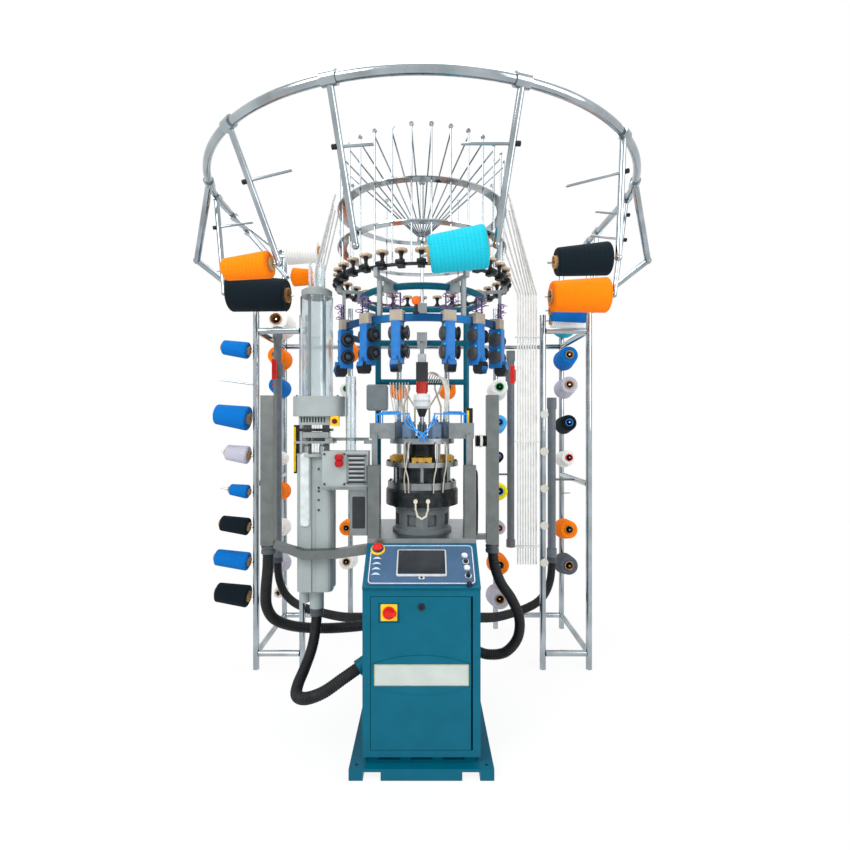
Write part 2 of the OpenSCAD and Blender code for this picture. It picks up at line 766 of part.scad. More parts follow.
module air_lines() {
    line_d = 6;
    top = head_top + 88;
    boxes_top = head_top + sel_h;
    color("#1f8fe0")
    for (s = [-1, 1], k = [0 : 2]) {
        a = s * [30, 62, 100][k];
        pin = [unit_r * sin(a), -unit_r * cos(a), top];
        seat = [s * (column_x - 20) - s * 12 * k + s * 12, -column_y + 62 - 15 + 10 * k, boxes_top];
        bent_bar([pin, pin + [0, 0, 24 + 6 * k], seat + [0, 0, 38 + 6 * k], seat], line_d);
    }
}

module cable_loops() {
    plug_z = drum_top + 32;
    loop_y = -cam_r - 22;
    color("#cfc9b8") {
        for (s = [-1, 1])
            difference() {
                translate([s * 27, loop_y, plug_z]) rotate([-90, 0, 0]) cylinder(d = 18, h = 60);
                cylinder(r = cam_r + fit, h = 3000, $fn = 96);
            }
        bent_bar([[-27, loop_y + 8, plug_z], [-27, loop_y + 8, plug_z - 36], [-18, loop_y + 12, plug_z - 66],
            [0, loop_y + 14, plug_z - 78], [18, loop_y + 12, plug_z - 66], [27, loop_y + 8, plug_z - 36],
            [27, loop_y + 8, plug_z]], 8);
        // Thread tubes from the head plate to the lower cross tube
        for (s = [-1, 1], k = [0 : 1]) {
            a = s * (120 + 40 * k);
            foot = [104 * sin(a), -104 * cos(a), head_top];
            bent_bar([foot, foot + [0, 0, 150], [s * (64 + 30 * k), post_y, cross_z[0] - frame_d / 2 - 20],
                [s * (64 + 30 * k), post_y, cross_z[0] - frame_d / 2 - fit]], 9);
        }
    }
}

// Yarn rings

module frame_arc(d) {
    translate([0, 0, frame_z])
        rotate([0, 0, 180 - frame_a])
            rotate_extrude(angle = 180 + 2 * frame_a, $fn = 120)
                translate([frame_r, 0]) circle(d = d, $fn = 32);
}

module tube_frame() {
    color("#17809a") {
        frame_arc(frame_d);
        bar([-post_x, post_y, frame_z], [post_x, post_y, frame_z], frame_d);
        for (s = [-1, 1]) {
            translate([s * post_x, post_y, frame_z]) sphere(d = frame_d + 3);
            translate([s * post_x, post_y, bed_top]) cylinder(d = frame_d, h = frame_z - bed_top);
        }
        for (z = cross_z)
            bar([-post_x, post_y, z], [post_x, post_y, z], frame_d);
    }
}

module frame_clamps() {
    color("#aab0b4") {
        for (a = hanger_a)
            difference() {
                around(a, 0, 0) {
                    translate([-clamp_w / 2, -frame_r - clamp_w / 2, frame_z - clamp_w / 2])
                        cube([clamp_w, clamp_w, clamp_w]);
                    translate([-9, -brake_r - brake_w / 2, frame_z + clamp_w / 2 - 4])
                        cube([18, brake_r + brake_w / 2 - frame_r, 12]);
                    translate([-9, -brake_r - brake_w / 2, frame_z + clamp_w / 2 + 7])
                        cube([18, brake_w, brake_z - brake_t / 2 - frame_z - clamp_w / 2 - 7]);
                    translate([-9, -feed_r - 1, feed_z - bar_h / 2 + 2])
                        cube([18, 14, frame_z + clamp_w / 2 - feed_z + bar_h / 2]);
                }
                frame_arc(frame_d + 2 * fit);
                feeder_bar();
            }
        // Clamp block of each feeder on the bar, with two inlet posts
        for (a = feeder_a)
            difference() {
                around(a, feed_r, feeder_top + fit) {
                    translate([-block_w / 2, -24, 0]) cube([block_w, 46, bar_h + block_h]);
                    for (s = [-1, 1])
                        translate([s * (block_w / 2 - 10), -14, bar_h + block_h - 1])
                            cylinder(d = 6, h = post_h + 1);
                }
                feeder_bar();
            }
        // Arm and guide rod of the dial head
        difference() {
            translate([-24, -24, arm_z]) cube([48, post_y + 48, 40]);
            bar([-100, post_y, cross_z[1]], [100, post_y, cross_z[1]], frame_d + 2 * fit);
        }
        translate([0, 0, rod_z]) cylinder(d = rod_d, h = arm_z - rod_z + 5);
        // Foot of the mast
        difference() {
            translate([-24, post_y - 24, frame_z - 22]) cube([48, 48, 50]);
            bar([-100, post_y, frame_z], [100, post_y, frame_z], frame_d + 2 * fit);
        }
    }
}

module feeder_bar() {
    translate([0, 0, feed_z - bar_h / 2])
        rotate([0, 0, 145])
            rotate_extrude(angle = 250, $fn = 120) translate([feed_r - bar_w / 2, 0]) square([bar_w, bar_h]);
}

module feeder_ring() {
    color("#1877c9") feeder_bar();
}

module feeder_bodies() {
    color("#2c6fc0")
    for (a = feeder_a)
        around(a, feed_r, feeder_top - feeder_h) {
            linear_extrude(feeder_h) polygon(round_rect(feeder_t, feeder_w, 6, 3));
            for (d = wheel_drop)
                translate([feeder_t / 2 - 1, 0, feeder_h - d])
                    rotate([0, 90, 0]) cylinder(d = axle_d, h = wheel_t + 5);
            // Domed covers on the other side
            for (d = wheel_drop)
                translate([1 - feeder_t / 2, 0, feeder_h - d])
                    rotate([0, -90, 0])
                        rotate_extrude() polygon([[0, 0], [feeder_w / 2 - 3, 0], [feeder_w / 2 - 3, 8],
                            [feeder_w / 2 - 10, 14], [0, 16]]);
            // Yarn sensor under the body, with its arm
            translate([-sensor_w / 2, 0, 0])
                rotate([90, 0, 90])
                    linear_extrude(sensor_w)
                        polygon([[-feeder_w / 2 - 14, 12], [-feeder_w / 2 - 20, -8],
                            [-feeder_w / 2 - 8, -sensor_h], [-6, -sensor_h], [4, 16 - sensor_h], [4, 12]]);
            translate([-8, -feeder_w / 2 - 16, 11]) cube([16, 20, 17]);
        }
}

module feeder_wheel(k) {
    a = feeder_a[floor((k - 1) / 2)];
    d = wheel_drop[(k - 1) % 2];
    color(dark)
    around(a, feed_r, feeder_top - d)
        translate([feeder_t / 2 + 1, 0, 0])
            rotate([0, 90, 0])
                difference() {
                    rotate_extrude()
                        polygon([[0, 0], [wheel_d / 2, 0], [wheel_d / 2, 4], [wheel_d / 2 - 7, 8],
                            [wheel_d / 2 - 7, wheel_t - 8], [wheel_d / 2, wheel_t - 4], [wheel_d / 2, wheel_t],
                            [0, wheel_t]]);
                    translate([0, 0, -1]) cylinder(d = axle_d + 2 * pivot_fit, h = wheel_t + 2);
                    for (j = [0 : 4])
                        rotate([0, 0, 72 * j])
                            translate([wheel_d / 2 - 15, 0, wheel_t - 6]) cylinder(d = 7, h = 7);
                }
}

module brake_ring() {
    color(dark)
    translate([0, 0, brake_z - brake_t / 2]) {
        ring(brake_r + brake_w / 2, brake_r - brake_w / 2, brake_t);
        for (k = [0 : brake_n - 1])
            around(360 * k / brake_n, brake_r + 2, brake_t - 1) {
                cylinder(d = 13, h = brake_h + 1);
                translate([0, 0, brake_h]) cylinder(d = 6, h = stem_h);
            }
    }
}

module tension_discs() {
    disc_t = 9;
    disc_r = 25;
    color("#b9a48a") {
        for (k = [0 : brake_n - 1])
            around(360 * k / brake_n, brake_r + 2, brake_z + brake_t / 2 - 1 + brake_h + stem_h)
                rotate_extrude()
                    polygon([[0, 0], [8, 0], [disc_r, disc_t - 2], [disc_r, disc_t], [0, disc_t]]);
        // Discs on the right mid post
        for (z = [620, 830, 1040, 1250, 1460])
            difference() {
                translate([mid_x, creel_y1 - tube_d / 2 - 26, z]) rotate([-90, 0, 0]) {
                    cylinder(d = 46, h = 7);
                    cylinder(d = 10, h = 40);
                }
                translate([mid_x, creel_y1, 0]) cylinder(d = tube_d + 2 * fit, h = 3000);
            }
    }
}

module yarn_guides() {
    rod_z0 = brake_z + brake_t / 2;
    color(chrome) {
        for (z = [guide_z1, guide_z2])
            difference() {
                translate([0, 0, z]) ring(guide_r + guide_w / 2, guide_r - guide_w / 2, 5);
                for (a = concat(guide_a, guide_back_a))
                    around(a, rod_r, z - 1) cylinder(d = guide_rod_d + 2 * fit, h = 8);
            }
        for (a = concat(guide_a, guide_back_a))
            around(a, rod_r, 0) {
                translate([0, 0, rod_z0]) cylinder(d = guide_rod_d, h = guide_top - rod_z0);
                translate([0, 4, guide_top + 7]) rotate([90, 0, 0]) ring(9, 4, 8);
            }
        translate([0, post_y, frame_z + 28]) cylinder(d = 16, h = mast_top - frame_z - 28);
        translate([0, post_y, mast_top + 12]) sphere(d = 36);
    }
}

module yarn_tubes() {
    bend_z = 2150;
    color("#dfe2e0")
    for (t = [0, 1]) {
        s = 2 * t - 1;
        x0 = mid_x - tube_d / 2 - 20;
        for (k = [0 : yarn_tube_n[t] - 1]) {
            x = s * (x0 - tube_pitch * k);
            a = 68 + 8 * k;
            bent_bar([[x, creel_y1, 600], [x, creel_y1, bend_z],
                [s * (guide_r + 40) * sin(a), -(guide_r + 40) * cos(a), guide_z2 + 40]], yarn_tube_d);
        }
        for (z = [700, 1300, 1900])
            translate([s * (x0 + 19.7) - (s > 0 ? 20 + tube_pitch * yarn_tube_n[t] : 0), creel_y1 - 11, z])
                cube([20 + tube_pitch * yarn_tube_n[t], 22, 8]);
    }
}

// Creel

module creel_rail(a, b) {
    v = unit(b - a) * (tube_d / 2 + fit);
    bar(a + v, b - v, tube_d);
}

module creel_frame() {
    creel_pins();
    color(chrome) {
        for (p = POSTS)
            translate([p.x, p.y, 0]) cylinder(d = tube_d, h = p.z);
        for (s = [-1, 1]) {
            for (z = [rail_z, clip_z, high_rail_z])
                creel_rail([s * creel_x, creel_y1, z], [s * creel_x, creel_y2, z]);
            for (z = [rail_z, high_rail_z])
                creel_rail([s * mid_x, creel_y1, z], [s * creel_x, creel_y1, z]);
            for (z = [rail_z, high_rail_z]) {
                creel_rail([s * creel_x, creel_y2, z], [s * back_x, creel_y2, z]);
                creel_rail([s * back_x, creel_y2, z], [s * inner_x, creel_y2, z]);
            }
            // Crank strut from the front post to a clamp on the hoop
            difference() {
                union() {
                    bent_bar([[s * creel_x, creel_y1, creel_front_z + fit],
                        [s * creel_x, creel_y1, creel_front_z + 50],
                        [s * (creel_x + 278), creel_y1 - 140, hoop_z - 260],
                        [s * hoop_r * sin(strut_a), hoop_y - hoop_r * cos(strut_a), hoop_z]], tube_d - 2, 8);
                    around_hoop(s * strut_a) cylinder(d = tube_d + 14, h = 56, center = true);
                }
                hoop_arc(tube_d + 2 * fit);
            }
            // Stub from the hoop's end to the rear post
            bar([s * (creel_x - 30), creel_y2, hoop_z],
                [s * (hoop_r - tube_d / 2 - fit), creel_y2, hoop_z], tube_d);
        }
        for (z = [rail_z, high_rail_z])
            creel_rail([-inner_x, creel_y2, z], [inner_x, creel_y2, z]);
    }
}

module hoop_arc(d) {
    translate([0, hoop_y, hoop_z])
        rotate([0, 0, 180])
            rotate_extrude(angle = 180, $fn = 160) translate([hoop_r, 0]) circle(d = d, $fn = 32);
}

// Place across the hoop's tube: local +Z runs along it
module around_hoop(a) {
    translate([hoop_r * sin(a), hoop_y - hoop_r * cos(a), hoop_z])
        rotate([0, 0, a]) rotate([0, 90, 0]) children();
}

module hoop() {
    color(chrome) {
        hoop_arc(tube_d);
        for (s = [-1, 1])
            bar([s * hoop_r, hoop_y + fit, hoop_z], [s * hoop_r, creel_y2 + 35, hoop_z], tube_d);
    }
}

// Pin that carries a package, along local +Z
module pin(start) {
    translate([0, 0, start]) cylinder(d = pin_d, h = pin_l - start);
}

module package(p, start) {
    translate([0, 0, start])
        difference() {
            union() {
                color(p[3]) cylinder(r1 = p[1], r2 = p[2], h = p[0]);
                color("#c9a06c") translate([0, 0, -8]) cylinder(r1 = core_r + 8, r2 = core_r, h = p[0] + 16);
            }
            translate([0, 0, -10]) cylinder(d = pin_d + 2 * fit, h = p[0] + 30);
        }
}

function arm_top(a) = [hoop_r * sin(a[0]), hoop_y - hoop_r * cos(a[0]), hoop_z];
function arm_end(a) = [(hoop_r - a[1]) * sin(a[0]), hoop_y - (hoop_r - a[1]) * cos(a[0]), arm_z_end];
function side_top(a) = [a[0] * hoop_r, a[1], hoop_z];
function side_end(a) = [a[0] * (hoop_r - a[2]), a[1], hoop_z - a[3]];

module hoop_arm(top, end) {
    bar(top, end, arm_d);
    translate(end) sphere(d = arm_d + 4);
}

module hoop_arms() {
    color("#c2c8cc") {
        for (a = ARMS) {
            difference() {
                union() {
                    hoop_arm(arm_top(a), arm_end(a));
                    around_hoop(a[0]) cylinder(d = tube_d + 14, h = 56, center = true);
                }
                hoop_arc(tube_d + 2 * fit);
            }
            if (a[4] != undef)
                along(arm_end(a), a[2], a[3]) cylinder(d = pin_d, h = a[4][0] + 70);
        }
        for (a = SIDE_ARMS) {
            difference() {
                union() {
                    hoop_arm(side_top(a), side_end(a));
                    translate(side_top(a))
                        rotate([90, 0, 0]) cylinder(d = tube_d + 14, h = 56, center = true);
                }
                bar(side_top(a) - [0, 60, 0], side_top(a) + [0, 60, 0], tube_d + 2 * fit);
            }
            along(side_end(a), a[0] > 0 ? 180 : 0, 0) cylinder(d = pin_d, h = a[4][0] + 70);
        }
    }
}

module creel_pins() {
    color(chrome)
    for (p = PINS)
        along([POSTS[p[0]].x, POSTS[p[0]].y, p[1]], p[2], p[3]) pin(pin_start + 1);
}

module yarn_packages() {
    for (p = PINS)
        if (p[4] != undef)
            along([POSTS[p[0]].x, POSTS[p[0]].y, p[1]], p[2], p[3]) package(p[4], pin_start + package_gap);
    for (a = ARMS)
        if (a[4] != undef)
            along(arm_end(a), a[2], a[3]) package(a[4], arm_d / 2 + package_gap);
    for (a = SIDE_ARMS)
        along(side_end(a), a[0] > 0 ? 180 : 0, 0) package(a[4], arm_d / 2 + package_gap);
}

// Sock turner

module turner_column() {
    color(grey) {
        translate([-turner_x, turner_y, turner_z0])
            linear_extrude(turner_z1 - turner_z0 - 12)
                difference() {
                    polygon(round_rect(turner_w, 140, 26, 4));
                    // Slots of the extrusion
                    for (s = [-1, 1]) translate([s * turner_w / 2, 0]) square([16, 24], center = true);
                    translate([0, -70]) square([24, 16], center = true);
                }
        translate([-turner_x, turner_y, turner_z1 - 12]) cylinder(d = turner_w + 20, h = 12);
        // Box that carries the unit on the left column
        translate([-turner_x + turner_w / 2 - 30, turner_y - 130, box_low])
            cube([turner_x - turner_w / 2 + 30 - cab_w / 2, 100, box_high - box_low]);
        // Outlet tube and motor under the column
        translate([-turner_x, turner_y, 560 + fit]) cylinder(d = hose_d + 14, h = turner_z0 - 560 - fit + 1);
        translate([-turner_x - 56, turner_y, 585]) cylinder(d = 44, h = turner_z0 - 585 + 1);
    }
}

module turner_housing() {
    color("#7d8388")
    translate([-turner_x, turner_y, 0]) {
        for (s = [-1, 1])
            translate([s * 42, 0, turner_z1]) cylinder(d = 34, h = turner_h1 - turner_z1 - 39);
        translate([-72, -50, turner_h1 - 40]) cube([144, 100, 41]);
        translate([12, 0, turner_h1])
            linear_extrude(turner_h2 - turner_h1) polygon(round_rect(236, 150, 68, 8));
        // Transfer arm towards the cylinder
        translate([-20, -16, turner_z1 + 58]) cube([turner_x - 225, 32, 14]);
        translate([turner_x - 265, -26, turner_z1 + 44]) cube([40, 52, 16]);
        // Shafts inside the clear tube
        for (s = [-1, 1])
            translate([s * 34, 0, turner_h2 - 1]) cylinder(d = 14, h = clear_z2 - turner_h2 + 2);
        cylinder_flange();
    }
}

// Cap ring between the two clear tubes, with its collar
module cylinder_flange() {
    translate([0, 0, clear_z2])
        rotate_extrude() polygon([[0, 0], [clear_d / 2 - 4, 0], [clear_d / 2 - 4, 30], [46, 44], [0, 44]]);
}

module clear_tube(d, wall, z0, z1) {
    translate([0, 0, z0]) ring(d / 2, d / 2 - wall, z1 - z0);
}

module turner_tube() {
    color("#cfd8e0") {
        translate([-turner_x, turner_y, 0]) {
            clear_tube(clear_d, clear_wall, turner_h2, clear_z2);
            clear_tube(76, clear_wall, clear_z2 + 44, clear_z2 + 150);
        }
        translate([-318, turner_y - 70, 0]) clear_tube(46, clear_wall, box_high, 1617);
    }
}

// Air

module suction_ducts() {
    color("#b6bbbe") {
        for (d = DUCTS)
            difference() {
                union() {
                    translate([d[0] - duct_w / 2, d[1] - duct_w / 2, d[2]])
                        cube([duct_w, duct_w, d[3] - d[2]]);
                    translate([d[0], d[1], d[2] - duct_socket + fit]) cylinder(d = hose_d, h = duct_socket);
                }
                translate([d[0] - duct_w / 2 + 4, d[1] - duct_w / 2 + 4, d[3] - 120])
                    cube([duct_w - 8, duct_w - 8, 121]);
            }
        // Bent arm to the cabinet's left side and short arm to the right side
        translate([0, DUCTS[0][1] + 22, 0]) rotate([90, 0, 0])
            linear_extrude(44)
                polygon([[DUCTS[0][0] + duct_w / 2 - 1, 886], [-520, 846], [-380, 850], [-cab_w / 2, 872],
                    [-cab_w / 2, 832], [-375, 812], [-525, 808], [DUCTS[0][0] + duct_w / 2 - 1, 858]]);
        translate([cab_w / 2, DUCTS[1][1] - 20, cab_top_z - 24])
            cube([DUCTS[1][0] - cab_w / 2 - duct_w / 2 + 1, 40, 22]);
    }
}

module plastic_pipes() {
    valve_z = 1740;
    color("#6d757b")
    for (p = PIPES) {
        translate([p[0], p[1], p[2] + fit]) cylinder(d = pipe_d, h = p[3] - p[2] - fit);
        translate([p[0], p[1], p[2] + fit]) cylinder(d = pipe_d + 12, h = 50);
        translate([p[0], p[1], p[3] - 60]) cylinder(d = pipe_d + 10, h = 70);
        // Clip to the creel's tube
        side = p[4] > p[0] ? 1 : -1;
        bar([p[0], p[1], clip_z], [p[4] - side * (tube_d / 2 + fit), p[1], clip_z], clip_d);
        if (p[3] > valve_z + 100) {
            translate([p[0], p[1], valve_z - 40]) cylinder(d = pipe_d + 22, h = 80);
            color("#c4281f") translate([p[0] - 10, p[1] - 70, valve_z - 12]) cube([20, 70, 24]);
        }
    }
}

module hose_turner() { hose(ROUTE_TURNER, hose_d); }
module hose_left() { hose(ROUTE_LEFT, hose_d); }
module hose_right() { hose(ROUTE_RIGHT, hose_d); }
module hose_back_left() { hose(ROUTE_BACK_LEFT, hose_d); }
module hose_back_right() { hose(ROUTE_BACK_RIGHT, hose_d); }

base_sled();
cabinet_shell();
electrical_plate();
console_panel();
touch_screen();
machine_bed();
side_columns();
cylinder_drum();
cam_housing();
cam_plates();
cam_blocks();
actuator_blocks();
selector_boxes();
air_lines();
cable_loops();
tube_frame();
frame_clamps();
feeder_ring();
feeder_bodies();
brake_ring();
tension_discs();
yarn_guides();
yarn_tubes();
creel_frame();
hoop();
hoop_arms();
yarn_packages();
turner_column();
turner_housing();
turner_tube();
suction_ducts();
plastic_pipes();
hose_turner();
hose_left();
hose_right();
hose_back_left();
hose_back_right();
cabinet_door();
main_switch();
door_lock();
emergency_stop();
start_button();
stop_button();
aux_button();
key_switch();
needle_cylinder();
dial_head();
dial();
for (k = [1 : 12])
    feeder_wheel(k);
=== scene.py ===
"""Looks of a circular sock knitting machine with its creel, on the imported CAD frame."""
import json
import math

import bpy
import numpy as np
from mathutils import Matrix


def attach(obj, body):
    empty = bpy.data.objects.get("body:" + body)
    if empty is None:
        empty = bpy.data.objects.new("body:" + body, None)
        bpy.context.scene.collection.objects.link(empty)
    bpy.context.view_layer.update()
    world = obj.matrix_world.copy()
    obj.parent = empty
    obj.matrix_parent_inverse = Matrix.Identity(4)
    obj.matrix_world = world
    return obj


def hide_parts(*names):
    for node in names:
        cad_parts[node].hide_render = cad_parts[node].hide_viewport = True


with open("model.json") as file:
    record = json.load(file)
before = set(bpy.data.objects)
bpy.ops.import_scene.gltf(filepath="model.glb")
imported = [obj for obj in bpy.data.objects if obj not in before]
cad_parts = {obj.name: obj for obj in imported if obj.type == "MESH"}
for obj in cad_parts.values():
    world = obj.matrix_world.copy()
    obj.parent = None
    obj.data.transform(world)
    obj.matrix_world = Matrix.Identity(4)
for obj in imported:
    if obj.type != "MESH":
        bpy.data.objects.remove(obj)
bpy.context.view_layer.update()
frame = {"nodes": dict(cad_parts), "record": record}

bl_info = {
    "name": "Sock knitting machine",
    "version": (1, 0, 0),
    "blender": (4, 5, 0),
    "location": "View3D > Sidebar > Knitting",
    "description": "Finishes, yarn packages, hoses and trim of a circular sock knitting machine",
    "category": "Object",
}

# The machine's own places, in metres

# Console slope: lower edge, rise over run, and the controls as (across, up the slope)
CONSOLE_EDGE = (0.0, -0.385, 0.754)
CONSOLE_RISE, CONSOLE_RUN = 0.135, 0.188
CONSOLE_SLOPE = math.atan2(CONSOLE_RISE, CONSOLE_RUN)
CONSOLE_LENGTH = math.hypot(CONSOLE_RISE, CONSOLE_RUN)
PANEL_THICK = 0.005
SCREEN_UP, SCREEN_OUT = CONSOLE_LENGTH / 2 + 0.007, 0.0089
TAB_UP = SCREEN_UP - 0.078
CAP_PLACE = (0.190, 0.012)
STOP_PLACE = (-0.186, 0.192)
KEY_PLACES = [(-0.186, 0.062 + 0.027 * k) for k in range(4)]
BUTTON_PLACES = [(0.180, 0.160), (0.183, 0.128), (0.186, 0.096), (0.189, 0.056)]

# Routes of the five free hoses, from the upper fitting to the port in the cabinet's side
HOSE_ROUTES = {
    "hose_turner": [(-.485, -.045, .560), (-.488, -.055, .470), (-.500, -.085, .385), (-.520, -.140, .320),
                    (-.532, -.210, .285), (-.520, -.280, .275), (-.470, -.335, .290), (-.395, -.355, .325),
                    (-.320, -.342, .372), (-.262, -.316, .403)],
    "hose_left": [(-.680, -.140, .866), (-.684, -.135, .765), (-.698, -.115, .665), (-.708, -.075, .575),
                  (-.690, -.025, .500), (-.635, .015, .455), (-.555, .040, .432), (-.460, .050, .425),
                  (-.355, .046, .432), (-.248, .040, .445)],
    "hose_right": [(.330, .000, .838), (.340, .002, .745), (.372, .008, .655), (.425, .015, .575),
                   (.462, .024, .480), (.455, .034, .385), (.400, .042, .315), (.320, .048, .300),
                   (.252, .050, .319)],
    "hose_back_left": [(-.905, .800, .580), (-.903, .798, .500), (-.888, .788, .425), (-.850, .766, .360),
                       (-.790, .734, .318), (-.715, .690, .300), (-.635, .635, .298), (-.560, .572, .305),
                       (-.488, .502, .318), (-.424, .428, .338), (-.368, .356, .362), (-.316, .294, .385),
                       (-.268, .242, .404)],
    "hose_back_right": [(.805, .800, .580), (.803, .798, .500), (.790, .788, .425), (.756, .766, .360),
                        (.702, .734, .318), (.636, .690, .300), (.570, .635, .298), (.508, .572, .305),
                        (.450, .502, .318), (.398, .428, .338), (.352, .356, .362), (.308, .294, .385),
                        (.268, .244, .403)],
}

# Creel posts as (x, y)
POSTS = [(-.955, .540), (-.690, .540), (-.955, 1.140), (-.500, 1.140), (-.165, 1.140),
         (.955, .540), (.690, .540), (.955, 1.140), (.500, 1.140), (.165, 1.140)]
PIN_TILT = 8
# Packages as (post, height, turn, length, big radius, small radius, yarn), in mm and degrees
POST_PACKAGES = [
    (0, 1820, 180, 150, 48, 42, "blue"), (0, 1430, 180, 190, 70, 58, "blue"),
    (0, 1220, 180, 130, 52, 44, "lilac"), (0, 1010, 180, 110, 40, 32, "blue"),
    (0, 810, 180, 160, 50, 44, "black"), (0, 610, 180, 190, 52, 46, "blue"),
    (0, 410, 180, 185, 62, 54, "black"),
    (2, 2060, -90, 170, 95, 80, "white"), (2, 1830, -90, 160, 70, 58, "orange"),
    (2, 1635, -90, 160, 62, 52, "blue"), (2, 1165, -90, 150, 46, 40, "white"),
    (2, 945, -90, 150, 60, 50, "orange"), (2, 700, -90, 150, 60, 52, "white"),
    (2, 460, -90, 150, 62, 54, "lilac"), (2, 270, -90, 120, 42, 34, "white"),
    (7, 2070, -90, 170, 90, 78, "cyan"), (7, 1830, -90, 160, 70, 58, "blue"),
    (7, 1635, -90, 160, 66, 56, "lilac"), (7, 1390, -90, 150, 60, 52, "black"),
    (7, 1160, -90, 150, 56, 48, "white"), (7, 690, -90, 150, 68, 58, "orange"),
    (7, 455, -90, 150, 70, 60, "slate"),
    (3, 1880, -90, 150, 70, 60, "orange"), (3, 1610, -90, 150, 52, 44, "white"),
    (3, 700, -90, 150, 56, 48, "orange"), (3, 480, -90, 150, 60, 50, "white"),
    (8, 1620, -90, 160, 66, 56, "white"), (8, 1390, -90, 160, 60, 50, "sky"),
    (8, 1170, -90, 120, 40, 34, "black"), (8, 940, -90, 160, 64, 54, "yellow"),
    (8, 700, -90, 150, 50, 42, "lilac"), (8, 460, -90, 180, 70, 60, "orange"),
    (8, 240, -90, 180, 74, 64, "lilac"),
    (4, 1880, -90, 150, 62, 52, "white"), (4, 1620, -90, 150, 58, 50, "orange"),
    (9, 1880, -90, 150, 62, 52, "white"), (9, 1620, -90, 150, 58, 50, "orange"),
]
# Packages on the hoop's arms as (turn on the hoop from the front, lean inwards, turn, tilt, package)
HOOP_RADIUS, HOOP_CENTRE, HOOP_HEIGHT, ARM_END = 1.050, 0.300, 2.560, 2.070
ARM_PACKAGES = [(-45, 215, 172, -4, 205, 56, 46, "orange"), (-84, 40, -4, -3, 290, 92, 80, "black"),
                (19, 190, 178, -8, 215, 80, 70, "cyan"), (50, 20, 180, -4, 215, 66, 56, "black"),
                (86, 60, 182, -2, 290, 90, 78, "orange")]
# Packages on the hoop's straight sides as (side, y, lean inwards, drop, package)
SIDE_PACKAGES = [(-1, 430, 260, 200, 180, 72, 60, "white"), (-1, 650, 240, 280, 115, 54, 46, "orange"),
                 (1, 690, 20, 470, 220, 74, 64, "blue"), (1, 850, 0, 500, 200, 66, 56, "white")]
# Where a package starts along its pin, on a post and on an arm
POST_START, ARM_START = 0.0418, 0.037
# Bare pins on the hoop's arms as (turn on the hoop, the arm's lean, share of the arm from its top, then the
# pin's turn, tilt and length)
SPARE_PINS = [(-17, 210, 0.38, 0, 4, 0.120), (19, 190, 0.36, 180, 0, 0.180), (-45, 215, 0.39, 0, 14, 0.175),
              (50, 20, 0.31, 180, -14, 0.230), (-84, 40, 0.32, 0, 8, 0.175), (86, 60, 0.42, 180, 7, 0.160),
              (86, 60, 0.16, 180, 6, 0.150)]
# Depth of the mast's axis, and a core's radius as a share of its package's small radius
MAST_DEPTH = 0.171
CORE_SHARE = 0.46
# Cores are tan but for those of a few packages, given as (post, height)
CORE_TONES = {"tan": "#b58a57", "green": "#1d9a58", "blue": "#2b86cf", "violet": "#7c78b4", "red": "#c4302b"}
PRINTED_CORES = {(8, 1620): "green", (8, 1390): "blue", (8, 1170): "violet", (8, 940): "blue",
                 (8, 700): "red", (7, 1390): "blue", (7, 1160): "red", (3, 1610): "green",
                 (2, 1635): "red"}
# Feeders by their turn from the front, and heights of the wheels above a feeder's foot and of the right
# post's discs
FEEDER_TURNS = (-65, -37, -15, 17, 38, 62)
WHEEL_HEIGHTS = (0.122, 0.048)
DISC_HEIGHTS = (0.620, 0.830, 1.040, 1.250, 1.460)
# The knob's foot on the bar, and the pipes with valves as (x, y)
KNOB_FOOT = (-0.0215, -0.370, 1.845)
VALVES = [(-0.905, 0.800), (0.605, 1.140)]
# The door's name plate, and the switch plate as (across, height, face)
PLATE_HEIGHT, PLATE_FACE = 0.403, -0.3715
SWITCH_PLACE = (-0.130, 0.650, -0.3660)
# Seats on rings about the machine's axis as (radius, height)
FEEDER_SEAT, BLOCK_SEAT, INLET_SEAT = (0.370, 1.647), (0.371, 1.8152), (0.384, 1.8585)
BRAKE_SEAT, GUIDE_HEAD, ACTUATOR_TOP = (0.388, 2.043), (0.3775, 2.572), (0.115, 1.404)
# Rings of cap screws as (count, first turn, radius, height)
SCREW_RINGS = [(24, 7.5, 0.160, 1.2330), (18, 0, 0.150, 1.1410), (18, 10, 0.142, 1.3390)]
# The mast's hub, the lower cross tube as (depth, height), the bed, and the radii of the small tubes
HUB_MIDDLE = 2.330
CROSS_TUBE = (0.158, 1.612)
BED_TOP = 0.909
THREAD_TUBE, AIR_TUBE, OIL_PIPE = 0.0029, 0.0026, 0.0030
# The drive's cover as (across, height, face), and the barrel's seat on the right duct
DRIVE_PLACE = (-0.2215, 1.535, 0.1565)
BARREL_PLACE = (0.302, 0.0, 1.325)
# The turner's front faces, and the middles of its own pieces
BOX_FACE, PANEL_FACE, COLUMN_FACE = -0.175, -0.179, -0.115
LOUVRE_MIDDLE, LOUVRE_PITCH, BRACKET_MIDDLE = -0.284, 0.019, -0.277
TURNER_ACROSS, TAB_ACROSS = -0.485, -0.3915
# Lamps as (name, place, size, watts), all aimed at one point
LAMP_TARGET = (0.0, 0.2, 1.2)
LAMPS = [("key lamp", (-2.6, -3.4, 4.2), 2.6, 165), ("fill lamp", (3.2, -2.6, 2.6), 2.6, 75),
         ("top lamp", (0.0, 0.6, 5.2), 3.2, 80)]


# Settings

def colour_setting(label, hex_colour):
    """A colour that a user may change, as an sRGB hex value."""
    return bpy.props.StringProperty(name=label, description=f"sRGB hex colour of the {label.lower()}",
                                    default=hex_colour)


def length_setting(label, text, metres):
    """A length that a user may change, in metres."""
    return bpy.props.FloatProperty(name=label, description=text, default=metres, min=0.0, precision=4,
                                   unit="LENGTH")


